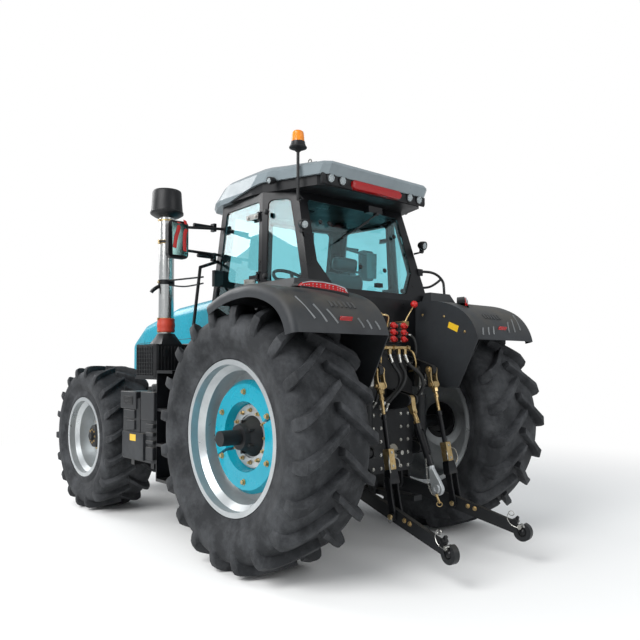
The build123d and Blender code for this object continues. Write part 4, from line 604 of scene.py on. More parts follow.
def chain_tree():
    """Links along a path, each turned a quarter from the one before."""
    tree = repeat_tree("links along a path", (("Path", "NodeSocketObject"), ("Pitch", "NodeSocketFloat")))
    given = add_node(tree, "NodeGroupInput")
    path = add_node(tree, "GeometryNodeObjectInfo", {"Object": given.outputs["Path"]})
    seats = add_node(
        tree, "GeometryNodeCurveToPoints",
        {"Curve": path.outputs["Geometry"], "Length": given.outputs["Pitch"]},
        mode="LENGTH",
    )
    index = add_node(tree, "GeometryNodeInputIndex").outputs[0]
    twist = add_node(tree, "ShaderNodeCombineXYZ", {"Z": multiplied(tree, index, pi / 2)})
    turned = add_node(
        tree, "FunctionNodeRotateRotation",
        {"Rotation": seats.outputs["Rotation"], "Rotate By": twist.outputs[0]},
        rotation_space="LOCAL",
    )
    copies = add_node(
        tree, "GeometryNodeInstanceOnPoints",
        {
            "Points": seats.outputs["Points"],
            "Instance": given.outputs["Geometry"],
            "Rotation": turned.outputs[0],
        },
    )
    end_tree(tree, copies.outputs[0])
    return tree


TREES = {}


def repeated(shape, kind, **inputs):
    """The mesh of a shape repeated by one of the trees."""
    if kind not in TREES:
        TREES[kind] = {"ring": ring_tree, "row": row_tree, "chain": chain_tree}[kind]()
    carrier = added("carrier", shape.to_mesh("carrier"))
    copies = carrier.modifiers.new("copies", "NODES")
    copies.node_group = TREES[kind]
    for item in TREES[kind].interface.items_tree:
        if item.in_out == "INPUT" and item.name in inputs:
            copies[item.identifier] = inputs[item.name]
    plain = evaluated_mesh(carrier)
    bpy.data.objects.remove(carrier)
    return plain


def in_row(target, shape, count, step):
    """Add a row of copies of one shape to another."""
    target.take(repeated(shape, "row", Count=count, Step=step))


def in_ring(target, shape, count, centre):
    """Add copies of one shape round an axle to another."""
    target.take(repeated(shape, "ring", Count=count, Centre=tuple(centre)))


# Tyres. Along each lug: top edge and foot as (share of width, share of radius), trail round the wheel as a
# share of the radius, half thickness at the top and at the foot in metres
LUG_STATIONS = (
    ((-0.035, 1.000), (-0.035, 0.925), -0.125, 0.024, 0.034),
    ((0.060, 1.000), (0.060, 0.926), -0.078, 0.026, 0.036),
    ((0.160, 1.000), (0.160, 0.927), -0.022, 0.027, 0.037),
    ((0.260, 0.999), (0.260, 0.926), 0.034, 0.028, 0.038),
    ((0.350, 0.996), (0.350, 0.922), 0.078, 0.030, 0.041),
    ((0.425, 0.988), (0.415, 0.905), 0.108, 0.034, 0.046),
    ((0.470, 0.972), (0.440, 0.885), 0.124, 0.039, 0.050),
    ((0.490, 0.940), (0.460, 0.870), 0.133, 0.042, 0.053),
    ((0.4985, 0.895), (0.474, 0.850), 0.137, 0.043, 0.052),
    ((0.4985, 0.862), (0.482, 0.835), 0.138, 0.040, 0.046),
    ((0.4930, 0.838), (0.486, 0.825), 0.138, 0.034, 0.038),
)
# carcass from the crown to the bead: share of width, share of radius
CARCASS = (
    (0.00, 0.934), (0.16, 0.933), (0.30, 0.929), (0.39, 0.918), (0.44, 0.902), (0.470, 0.875), (0.486, 0.845),
    (0.4955, 0.805), (0.4955, 0.775), (0.488, 0.740), (0.484, 0.737), (0.470, 0.705), (0.466, 0.702),
    (0.448, 0.668), (0.444, 0.666), (0.428, 0.640),
)


def wrap(axle, radius, along, y):
    """A point on a wheel at this radius and this far round it, as an angle ahead of its top."""
    return (axle.x + radius * sin(along), y, axle.z + radius * cos(along))


# Each axle, the setting of its lugs and, in metres, its tyres' width and their seat's radius and half width
AXLES = {
    "rear": (REAR_AXLE, "rear_lugs", 0.65, 0.533, 0.254),
    "front": (FRONT_AXLE, "front_lugs", 0.54, 0.381, 0.2285),
}
RIM_FLANGE = 0.025  # height over the seat
LUG_EDGE = 0.006  # chamfer along a lug's top
LUG_SCALE_RADIUS = 0.956  # tyre radius for which the lugs' thicknesses are given


def tyre_lug(axle, middle_y, hand, width, offset):
    """One lug from the tread's middle over the shoulder and down the sidewall."""
    radius = axle.z
    scale = radius / LUG_SCALE_RADIUS
    stations = []
    for (top_y, top_r), (foot_y, foot_r), trail, half_top, half_foot in LUG_STATIONS:
        down = Vector((foot_y - top_y, (foot_r - top_r) * radius / width)).normalized()
        foot = (foot_y * width, foot_r * radius)
        shoulder = (top_y * width + down.x * LUG_EDGE, top_r * radius + down.y * LUG_EDGE)
        top = (top_y * width, top_r * radius)
        half = half_top * scale
        ring = []
        for (y, r), away in (
            (foot, half_foot * scale), (shoulder, half), (top, half - LUG_EDGE), (top, LUG_EDGE - half),
            (shoulder, -half), (foot, -half_foot * scale),
        ):
            ring.append(
                wrap(axle, min(r, radius - 0.001), offset - trail + away / radius, middle_y + hand * y)
            )
        stations.append(ring)
    return Shape().rings(stations)


class TRACTOR_OT_tyres(bpy.types.Operator):
    """Four tyres: a round carcass with bead rings, and curved lugs that run down the shoulders."""

    bl_idname = "tractor.tyres"
    bl_label = "Tyres"

    def execute(self, context):
        for end, (axle, setting, width, seat, half_seat) in AXLES.items():
            count = getattr(context.scene.tractor_sizes, setting)
            flange = seat + RIM_FLANGE
            half = [(r * axle.z, y * width) for y, r in CARCASS]
            half += [
                (flange + 0.022, half_seat + 0.016), (flange + 0.008, half_seat + 0.014),
                (flange + 0.002, half_seat - 0.0005), (seat + 0.0005, half_seat - 0.0005),
            ]
            section = half + [(r, -y) for r, y in reversed(half[1:])]
            for side, _ in SIDES:
                low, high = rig.box(f"{end}_tyre_{side}")
                middle_y = (low.y + high.y) / 2
                tyre = Shape().turned(section, (axle.x, middle_y, axle.z), (0, 1, 0), 120, closed=True)
                for hand, offset in ((1, 0.0), (-1, pi / count)):
                    in_ring(tyre, tyre_lug(axle, middle_y, hand, width, offset), count, axle)
                piece = finish_piece(
                    tyre, f"{end}_lugged_tyre_{side}", "moulded_tyre_rubber", f"{end}_wheel_{side}"
                )
                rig.replaces(piece, f"{end}_tyre_{side}")
        return {"FINISHED"}


# How far out from the machine's middle the faces that carry bolts lie
REAR_DISC_Y = 1.092
REAR_WEIGHT_Y = 1.164
FRONT_DISC_Y = 0.990
FRONT_HUB_Y = 1.094


class TRACTOR_OT_wheel_fittings(bpy.types.Operator):
    """Wheel bolts, bolts of the split weights, hub fins and the silver rings of the rear discs."""

    bl_idname = "tractor.wheel_fittings"
    bl_label = "Wheel fittings"

    def execute(self, context):
        x, z = REAR_AXLE.x, REAR_AXLE.z
        for side, hand in SIDES:
            out = (0, hand, 0)
            wheel = f"rear_wheel_{side}"
            face = hand * REAR_DISC_Y
            stud = Shape().bolt((x, face, z + 0.190), out, 0.017, 0.026)
            stud.tube([(x, face, z + 0.190), (x, face + hand * 0.040, z + 0.190)], 0.010)
            weight_bolt = Shape().bolt((x, hand * REAR_WEIGHT_Y, z + 0.325), out, 0.017, 0.022)
            bolts = Shape()
            in_ring(bolts, stud, 12, REAR_AXLE)
            in_ring(bolts, weight_bolt, 6, REAR_AXLE)
            finish_piece(bolts, f"rear_wheel_bolts_{side}", "passivated_zinc", wheel)
            profile = [(0.160, 0.0), (0.228, 0.0), (0.232, 0.004), (0.228, 0.012), (0.160, 0.014)]
            ring = Shape().turned(profile, (x, face, z), out, 64, closed=True)
            finish_piece(ring, f"rear_disc_ring_{side}", "silver_rim_paint", wheel)
            outline = [
                (x + across, z + up)
                for across, up in ((-0.009, 0.062), (0.009, 0.062), (0.009, 0.120), (-0.009, 0.120))
            ]
            fins = Shape()
            in_ring(fins, Shape().prism(outline, face + hand * 0.010, face + hand * 0.098), 6, REAR_AXLE)
            finish_piece(fins, f"rear_hub_fins_{side}", "painted_casting", wheel, bevel=0.003)
            front = Shape()
            nut = Shape().bolt((FRONT_AXLE.x, hand * FRONT_DISC_Y, FRONT_AXLE.z + 0.168), out, 0.015, 0.024)
            in_ring(front, nut, 10, FRONT_AXLE)
            cap = Shape().bolt((FRONT_AXLE.x, hand * FRONT_HUB_Y, FRONT_AXLE.z + 0.066), out, 0.009, 0.008)
            in_ring(front, cap, 8, FRONT_AXLE)
            finish_piece(front, f"front_wheel_bolts_{side}", "passivated_zinc", f"front_wheel_{side}")
        return {"FINISHED"}


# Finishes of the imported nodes
NODE_FINISHES = {
    "hood_paint": "turquoise_enamel", "rim_paint": "silver_rim_paint", "cast_paint": "painted_casting",
    "black_paint": "black_powder_coat", "iron": "ballast_iron", "steel": "turned_steel",
    "plated": "passivated_zinc",
    "tyre_rubber": "moulded_tyre_rubber",
    "black_plastic": "black_moulding",
    "fender_plastic": "grained_polypropylene",
    "roof_plastic": "silver_roof_shell",
    "tinted_glass": "tinted_window_glass",
    "amber_plastic": "amber_lens", "red_plastic": "red_lens", "lamp_glass": "clear_lens",
    "upholstery": "covered_seat_cloth",
}
NODE_EXCEPTIONS = {
    "lift_rods": "painted_casting", "top_link": "painted_casting",
    "intake_stack": "brushed_stainless",
    "fuel_tank": "rotomoulded_polyethylene",
    "battery_box": "rotomoulded_polyethylene",
    "rear_hub_left": "painted_casting",
    "rear_hub_right": "painted_casting",
}


class TRACTOR_OT_finishes(bpy.types.Operator):
    """Every finish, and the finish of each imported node."""

    bl_idname = "tractor.finishes"
    bl_label = "Finishes"

    def execute(self, context):
        make_finishes()
        rubber_finish()
        cloth_finish()
        # Float glass with a cyan body tint, clear enough to show the seat, with sharp reflections
        clear_finish("tinted_window_glass", "#b4e6ec", 1.0, 0.0, transmission=1.0)
        # Clear, amber and red moulded lenses with their optics
        clear_finish("clear_lens", "#a4adb0", 0.80, 0.10, rib_mm=12)
        clear_finish("amber_lens", "#e8860f", 0.93, 0.12, rib_mm=9)
        clear_finish("red_lens", "#9c0c10", 0.97, 0.16, rib_mm=9)
        slots = {part["node"]: part["material_slot"] for part in RECORD["subparts"]}
        for name, node in NODES.items():
            node.data.materials.clear()
            node.data.materials.append(FINISHES[NODE_EXCEPTIONS.get(name, NODE_FINISHES[slots[name]])])
        return {"FINISHED"}


# Fenders. Slots in the moulding as three points each along the fender's surface
FENDER_SLOTS = (
    ((-2.031, 1.243, 1.913), (-2.102, 1.213, 1.845), (-2.150, 1.176, 1.770)),
    ((-2.084, 1.137, 1.866), (-2.125, 1.106, 1.813), (-2.158, 1.081, 1.751)),
    ((-2.109, 1.043, 1.837), (-2.136, 1.010, 1.796), (-2.161, 0.988, 1.745)),
    ((-2.140, 0.788, 1.788), (-2.154, 0.768, 1.761), (-2.168, 0.756, 1.724)),
    ((-2.146, 0.709, 1.779), (-2.157, 0.692, 1.754), (-2.170, 0.684, 1.718)),
    ((-2.148, 0.630, 1.773), (-2.159, 0.612, 1.750), (-2.171, 0.603, 1.716)),
)
# Tail lamp along the fender: foot of its rear face and its height there
TAIL_LAMP = (
    (-1.724, 0.962, 2.024, 0.012), (-1.738, 0.944, 2.021, 0.036), (-1.775, 0.898, 2.013, 0.056),
    (-1.830, 0.828, 2.000, 0.064), (-1.885, 0.758, 1.985, 0.062), (-1.922, 0.712, 1.972, 0.052),
    (-1.934, 0.697, 1.967, 0.036),
)


def handed(points, hand):
    """Points of the left side, mirrored for the right where hand is -1."""
    return [Vector((x, y * hand, z)) for x, y, z in points]


class TRACTOR_OT_fender_fittings(bpy.types.Operator):
    """Slots, vent ribs, reflectors, tail lamps, screws and the blank label of the two fenders."""

    bl_idname = "tractor.fender_fittings"
    bl_label = "Fender fittings"

    def execute(self, context):
        for side, hand in SIDES:
            ribs = Shape()
            for points in FENDER_SLOTS:
                lifted = [point + Vector((-0.002, 0, 0.002)) for point in handed(points, hand)]
                ribs.hose(lifted, 0.0065, 8, 10)
            finish_piece(ribs, f"fender_slots_{side}", "worn_plastic_edge")
            vents = Shape()
            for i in range(6):
                y = hand * (0.760 + 0.042 * i)
                vents.hose([(-2.050, y, 1.900), (-2.068, y, 1.8865), (-2.092, y, 1.861)], 0.008, 8, 8)
            finish_piece(vents, f"fender_vents_{side}", "grained_polypropylene")
            reflector = Shape()
            slope = Matrix.Rotation(radians(-28), 3, "Y")
            reflector.box((-2.153, hand * 0.905 - 0.055, 1.748), (-2.143, hand * 0.905 + 0.055, 1.798), slope)
            finish_piece(reflector, f"reflector_{side}", "red_lens", bevel=0.003)
            lamp, strip, bezel = Shape(), Shape(), Shape()
            rows, edges, under = [], [], []
            for x, y, z, tall in TAIL_LAMP:
                foot = Vector((x, y * hand, z))
                section = (
                    (0.090, -0.030), (-0.022, -0.016), (-0.018, tall * 0.45), (-0.004, tall * 0.92),
                    (0.006, tall), (0.090, tall),
                )
                rows.append([foot + Vector((back, 0, up)) for back, up in section])
                section = (
                    (0.094, -0.034), (-0.030, -0.020), (-0.027, 0.010), (0.010, 0.012), (0.012, tall),
                    (0.014, tall + 0.006), (0.094, tall + 0.006),
                )
                under.append([foot + Vector((back, 0, up)) for back, up in section])
                edges.append(foot + Vector((-0.0045, 0, tall * 0.90)))
            lamp.rings(rows)
            piece = finish_piece(lamp, f"tail_lamp_lens_{side}", "red_lens", bevel=0.003)
            if side == "left":
                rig.replaces(piece, "tail_lamps")
            strip.tube(edges[1:], 0.0045, 8)
            for start, end in zip(edges[1:-1], edges[2:]):
                for part in (0.1, 0.4, 0.7):
                    for drop in (0.018, 0.034):
                        strip.turned(
                            [(0.0045, -0.004), (0.0035, 0.002)],
                            start.lerp(end, part) + Vector((-0.0125, 0, -drop)),
                            (-1, 0, 0.25), 10,
                        )
            finish_piece(strip, f"tail_lamp_strip_{side}", "clear_lens")
            bezel.rings(under)
            finish_piece(bezel, f"tail_lamp_bezel_{side}", "black_moulding", bevel=0.003)
            screws = Shape()
            for x, z in ((-1.835, 1.880), (-2.047, 1.745), (-1.60, 1.905)):
                screws.bolt((x, hand * 0.520, z), (0, -hand, 0), 0.009, 0.006)
            finish_piece(screws, f"fender_screws_{side}", "passivated_zinc")
        label = Shape().prism(
            [(-1.889, 1.834), (-1.990, 1.794), (-1.972, 1.744), (-1.874, 1.786)], -0.5198, -0.5186
        )
        finish_piece(label, "fender_label", "yellow_vinyl")
        return {"FINISHED"}


def round_lamp(target, lens, centre, aim, radius):
    """A round work lamp: a stepped housing in one shape and its lens in another."""
    target.turned(
        [
            (radius * 0.55, -0.062), (radius * 0.85, -0.045), (radius, -0.012), (radius, 0.004),
            (radius * 0.84, 0.007), (radius * 0.76, 0.002), (radius * 0.74, -0.006), (radius * 0.40, -0.006),
        ],
        centre, aim, 28,
    )
    lens.turned(
        [(radius * 0.74, -0.003), (radius * 0.70, 0.003), (radius * 0.40, 0.006), (0.004, 0.007)],
        centre, aim, 28,
    )
    for turn in range(6):
        angle = turn * pi / 3
        across = Vector(aim).normalized().orthogonal().normalized()
        seat = Matrix.Rotation(angle, 3, Vector(aim)) @ across * radius * 0.5
        lens.turned([(radius * 0.16, 0.004), (radius * 0.10, 0.010)], Vector(centre) + seat, aim, 12)


class TRACTOR_OT_lamps(bpy.types.Operator):
    """Work lamps in the roof's rear fascia, the red lamp bar, pillar lamps and the amber beacon."""

    bl_idname = "tractor.lamps"
    bl_label = "Lamps and beacon"

    def execute(self, context):
        housings, lenses = Shape(), Shape()
        for y in (0.517, 0.395, -0.395, -0.517):
            round_lamp(housings, lenses, (-1.572, y, 2.914), (-1, 0, -0.18), 0.044)
        for hand in (1, -1):
            round_lamp(housings, lenses, (-1.475, hand * 0.700, 2.545), (-1, 0.15 * hand, -0.25), 0.040)
            housings.tube(
                [(-1.415, hand * 0.700, 2.545), (-1.440, hand * 0.690, 2.490), (-1.395, hand * 0.645, 2.475)],
                0.009,
            )
            housings.turned([(0.020, -0.012), (0.020, 0.012)], (-1.440, hand * 0.700, 2.500), (0, 1, 0), 12)
            round_lamp(housings, lenses, (-1.160, hand * 0.806, 2.925), (0, hand, -0.2), 0.030)
        fascia = [(-1.538, 2.872), (-1.556, 2.868), (-1.566, 2.884), (-1.566, 2.946), (-1.538, 2.952)]
        housings.prism(fascia, -0.60, 0.60)
        piece = finish_piece(housings, "lamp_housings", "black_moulding", bevel=0.002)
        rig.replaces(piece, "work_lamps")
        finish_piece(lenses, "work_lamp_lenses", "clear_lens")
        bar = Shape().rings(
            [
                [
                    (-1.545, y, low), (-1.585, y, low + 0.006), (-1.594, y, (low + high) / 2),
                    (-1.585, y, high - 0.006), (-1.545, y, high),
                ]
                for y, low, high in (
                    (0.300, 2.885, 2.930), (0.275, 2.868, 2.948), (-0.245, 2.868, 2.948),
                    (-0.270, 2.885, 2.930),
                )
            ],
        )
        finish_piece(bar, "red_lamp_bar", "red_lens", bevel=0.004)
        x, y, top = -1.390, 0.700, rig.box("beacon")[1].z
        stem = Shape().tube([(x, y, 2.745), (x, y, top - 0.150)], 0.012)
        stem.tube([(x, y, 2.790), (x, 0.655, 2.765), (x + 0.06, 0.632, 2.760)], 0.010)
        stem.turned(
            [
                (0.014, -0.170), (0.030, -0.155), (0.068, -0.140), (0.070, -0.132), (0.064, -0.128),
                (0.056, -0.105), (0.054, -0.090), (0.046, -0.088),
            ],
            (x, y, top), (0, 0, 1), 36,
        )
        piece = finish_piece(stem, "beacon_stem", "black_moulding")
        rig.replaces(piece, "beacon")
        dome = Shape().turned(
            [
                (0.048, -0.090), (0.050, -0.085), (0.048, -0.060), (0.046, -0.030), (0.042, -0.014),
                (0.032, -0.005), (0.016, -0.001), (0.002, 0.0),
            ],
            (x, y, top), (0, 0, 1), 36,
        )
        finish_piece(dome, "beacon_dome", "amber_lens")
        return {"FINISHED"}


# A point of the rear window's outer face, and how far it leans forward for each metre up
REAR_GLASS_X, REAR_GLASS_Z = -1.520, 2.033
REAR_GLASS_SLOPE = 0.2952


class TRACTOR_OT_cab_fittings(bpy.types.Operator):
    """Rear wiper, window knobs, grab loop, roof ribs and eye bolts, door fittings and the mirrors' glass."""

    bl_idname = "tractor.cab_fittings"
    bl_label = "Cab fittings"

    def execute(self, context):
        wiper = Shape().box((-1.475, -0.150, 2.745), (-1.415, 0.010, 2.800))
        wiper.turned(
            [(0.016, -0.01), (0.016, 0.030), (0.010, 0.034)], (-1.470, -0.069, 2.735), (-1, 0, 0), 16
        )
        wiper.tube([(-1.495, -0.069, 2.735), (-1.497, 0.080, 2.640), (-1.503, 0.180, 2.575)], 0.006, 8)
        wiper.tube([(-1.494, 0.030, 2.655), (-1.508, 0.350, 2.480)], 0.0055, 8)
        finish_piece(wiper, "rear_wiper", "black_powder_coat")
        knobs = Shape()
        for y, z in ((0.440, 2.617), (0.345, 2.617), (0.090, 2.280), (-0.197, 2.275), (-0.420, 2.607)):
            x = REAR_GLASS_X + (z - REAR_GLASS_Z) * REAR_GLASS_SLOPE - 0.004
            knobs.turned(
                [(0.019, 0), (0.021, 0.004), (0.017, 0.014), (0.004, 0.017)], (x, y, z), (-1, 0, 0.28), 20
            )
        for hand in (1, -1):
            for x, y, z in ((-1.098, 0.783, 2.690), (-1.113, 0.806, 2.172)):
                knobs.turned(
                    [(0.022, -0.010), (0.022, 0.010), (0.016, 0.018), (0.004, 0.020)],
                    (x, hand * y, z), (0, hand, 0), 20,
                )
        knobs.box((-1.545, -0.085, 2.115), (-1.505, -0.020, 2.150))
        finish_piece(knobs, "window_knobs", "black_moulding", bevel=0.002)
        loop = Shape().hose(
            [
                (-1.420, -0.640, 2.305), (-1.450, -0.700, 2.318), (-1.490, -0.830, 2.310),
                (-1.530, -0.895, 2.240), (-1.550, -0.880, 2.170), (-1.552, -0.882, 2.108),
            ],
            0.012, 14, 50,
        )
        loop.hose(
            [
                (-1.435, -0.650, 2.170), (-1.455, -0.720, 2.165), (-1.495, -0.800, 2.190),
                (-1.522, -0.868, 2.250),
            ],
            0.011, 12, 24,
        )
        for z in (2.305, 2.170):
            loop.box((-1.455, -0.700, z - 0.030), (-1.418, -0.640, z + 0.030))
        piece = finish_piece(loop, "grab_loop", "black_powder_coat", bevel=0.002)
        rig.replaces(piece, "grab_rail")
        roof = surface_of(NODES["roof"])

        def roof_height(x, y):
            """The height of the roof's outer face at x and y."""
            return roof.ray_cast(Vector((x, y, 4)), Vector((0, 0, -1)))[0].z

        bolts = Shape()
        for x, y in ((-1.20, 0.42), (-1.20, -0.42), (-0.55, 0.42), (-0.55, -0.42)):
            top = roof_height(x, y)
            bolts.turned([(0.028, -0.004), (0.028, 0.006), (0.016, 0.010)], (x, y, top), (0, 0, 1), 20)
            bolts.tube(circle((x, y, top + 0.030), (0.020, 0, 0), (0, 0, 0.018)), 0.0055, 8)
        finish_piece(bolts, "roof_eye_bolts", "turned_steel")
        roof_ribs = Shape()
        for i in range(9):
            y = -0.56 + 0.14 * i
            stations = [-1.45 + 0.11 * k for k in range(9)]
            roof_ribs.tube([(x, y, roof_height(x, y) - 0.004) for x in stations], 0.0075, 8)
        finish_piece(roof_ribs, "roof_ribs", "silver_roof_shell")
        for side, hand in SIDES:
            handle = Shape().hose(
                [
                    (-0.40, hand * 0.772, 2.02), (-0.40, hand * 0.806, 2.03), (-0.40, hand * 0.806, 2.14),
                    (-0.40, hand * 0.770, 2.15),
                ],
                0.010, 10, 20,
            )
            finish_piece(handle, f"door_handle_{side}", "black_moulding", f"{side}_door")
            plates = Shape()
            for x, z in ((-0.917, 2.676), (-0.880, 2.154)):
                plates.box(
                    (x - 0.070, hand * 0.785 - 0.006, z - 0.022), (x + 0.085, hand * 0.785 + 0.006, z + 0.022)
                )
                for far in (-0.045, 0.060):
                    plates.bolt((x + far, hand * 0.791, z), (0, hand, 0), 0.011, 0.007)
            finish_piece(plates, f"door_hinge_plates_{side}", "turned_steel", f"{side}_door", bevel=0.004)
            glass = Shape()
            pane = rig.box("mirrors")[0].x
            glass.prism(
                [(hand * 1.075, 2.392), (hand * 1.210, 2.392), (hand * 1.216, 2.66), (hand * 1.070, 2.66)],
                pane - 0.0025, pane + 0.004, axis="X",
            )
            finish_piece(glass, f"mirror_glass_{side}", "mirror_glass")
            mounts = Shape()
            for z in (2.680, 2.420):
                near = 0.985 if z > 2.5 else 0.945
                mounts.tube([(-0.318, hand * 0.780, z), (-0.318, hand * near, z)], 0.017, 14)
                right, left = sorted((hand * 0.770, hand * 0.800))
                mounts.box((-0.345, right, z - 0.035), (-0.290, left, z + 0.035))
            finish_piece(mounts, f"mirror_mounts_{side}", "black_powder_coat", bevel=0.003)
        ribbon = Shape()
        for points in (
            ((-0.385, 1.150, 2.670), (-0.396, 1.160, 2.600), (-0.392, 1.185, 2.540), (-0.394, 1.195, 2.450)),
            ((-0.360, 1.085, 2.700), (-0.390, 1.075, 2.640), (-0.392, 1.110, 2.560), (-0.394, 1.100, 2.430)),
        ):
            path = smooth_path([Vector(p) + Vector((0.018, 0, 0)) for p in points], 24)
            section = ((0, -0.016, -0.004), (-0.002, 0, 0), (0, 0.016, 0.004), (0.0015, 0, 0))
            ribbon.rings([[p + Vector(step) for step in section] for p in path])
        finish_piece(ribbon, "mirror_ribbons", "red_cap_plastic")
        return {"FINISHED"}


class TRACTOR_OT_intake(bpy.types.Operator):
    """Clamps, red hose, bracket and ribs of the intake stack, its bowl and the filter box."""

    bl_idname = "tractor.intake"
    bl_label = "Intake"

    def execute(self, context):
        low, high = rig.box("intake_stack")
        x, y, radius = (low.x + high.x) / 2, (low.y + high.y) / 2, (high.x - low.x) / 2
        clamps = Shape()
        for z in (2.835, 2.640, 2.620, 2.250, 1.905, 1.785):
            clamps.turned(
                [
                    (radius - 0.001, -0.008), (radius + 0.004, -0.008), (radius + 0.004, 0.008),
                    (radius - 0.001, 0.008),
                ],
                (x, y, z), (0, 0, 1), 40, closed=True,
            )
            clamps.box((x - 0.012, y + radius, z - 0.009), (x + 0.012, y + radius + 0.016, z + 0.009))
            clamps.bolt((x + 0.012, y + radius + 0.009, z), (1, 0, 0), 0.006, 0.008)
        finish_piece(clamps, "stack_clamps", "passivated_zinc", bevel=0.001)
        bands = Shape()
        for z, tall in ((2.630, 0.012), (2.250, 0.022)):
            bands.turned(
                [(radius, -tall), (radius + 0.006, -tall), (radius + 0.006, tall), (radius, tall)],
                (x, y, z), (0, 0, 1), 40, closed=True,
            )
        bands.tube([(x - 0.05, y + 0.02, 2.262), (-0.150, 0.785, 2.262)], 0.008, 10)
        bands.hose(
            [(x - 0.05, y + 0.01, 2.225), (0.16, 0.85, 2.195), (0.02, 0.82, 2.190), (-0.150, 0.785, 2.205)],
            0.007, 10, 24,
        )
        bands.hose(
            [(x, y + 0.05, 2.22), (x + 0.02, y + 0.12, 2.19), (x + 0.03, y + 0.14, 2.15)], 0.018, 10, 16
        )
        finish_piece(bands, "stack_brackets", "black_powder_coat")
        hose = Shape().turned(
            [
                (radius + 0.001, 1.778), (radius + 0.010, 1.782), (radius + 0.013, 1.800),
                (radius + 0.009, 1.812), (radius + 0.013, 1.830), (radius + 0.013, 1.862),
                (radius + 0.009, 1.874), (radius + 0.010, 1.905), (radius + 0.001, 1.910),
            ],
            (x, y, 0), (0, 0, 1), 40,
        )
        finish_piece(hose, "stack_foot_hose", "red_silicone")
        low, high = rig.box("precleaner")
        bowl = Shape()
        big, tall = (high.x - low.x) / 2, high.z - low.z
        bowl.turned(
            [
                (radius, 0.0), (big * 0.72, 0.008), (big * 0.96, 0.032), (big * 0.995, 0.040),
                (big * 0.995, 0.056), (big * 0.955, 0.062), (big * 0.945, 0.074), (big * 0.905, tall * 0.55),
                (big * 0.865, tall - 0.022), (big * 0.83, tall - 0.008), (big * 0.77, tall - 0.001),
                (0.03, tall - 0.0005),
            ],
            ((low.x + high.x) / 2, (low.y + high.y) / 2, low.z), (0, 0, 1), 56,
        )
        for i in range(6):
            angle = i * pi / 3 + 0.4
            bowl.bolt(
                (x + big * 0.955 * cos(angle), y + big * 0.955 * sin(angle), low.z + 0.056),
                (0, 0, 1), 0.006, 0.006,
            )
        piece = finish_piece(bowl, "precleaner_bowl", "black_moulding")
        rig.replaces(piece, "precleaner")
        low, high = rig.box("air_filter_box")
        top = 1.661
        ribs = Shape()
        rib = Shape().box(
            (low.x + 0.045, high.y - 0.004, low.z + 0.018), (low.x + 0.053, high.y + 0.006, top - 0.018)
        )
        in_row(ribs, rib, 10, (0.033, 0, 0))
        level = Shape().box(
            (low.x + 0.03, high.y - 0.004, low.z + 0.030), (high.x - 0.03, high.y + 0.004, low.z + 0.036)
        )
        in_row(ribs, level, 8, (0, 0, 0.034))
        back = Shape().box(
            (low.x - 0.006, low.y + 0.045, low.z + 0.018), (low.x + 0.004, low.y + 0.053, top - 0.018)
        )
        in_row(ribs, back, 10, (0, 0.033, 0))
        lid = Shape().box(
            (low.x - 0.003, low.y + 0.04, top - 0.052), (low.x + 0.006, high.y - 0.04, top - 0.040)
        )
        in_row(ribs, lid, 2, (0, 0, -0.110))
        for y_catch in (low.y + 0.10, high.y - 0.10):
            ribs.box((low.x - 0.016, y_catch - 0.018, top - 0.110), (low.x, y_catch + 0.018, top - 0.050))
        finish_piece(ribs, "filter_box_ribs", "black_moulding", bevel=0.0015)
        return {"FINISHED"}


# Raised panels of the tank's outer face: x from, x to, z from, z to, depth behind the face
TANK_PANELS = (
    (0.272, 0.585, 1.075, 1.232, 0.20), (0.300, 0.522, 0.990, 1.068, 0.02),
    (0.300, 0.455, 0.890, 0.975, 0.02), (-0.068, 0.180, 0.990, 1.238, 0.20),
    (-0.050, 0.082, 0.925, 0.962, 0.02), (-0.050, 0.082, 0.854, 0.889, 0.02),
    (-0.050, 0.082, 0.786, 0.819, 0.02), (-0.050, 0.082, 0.650, 0.762, 0.02),
)


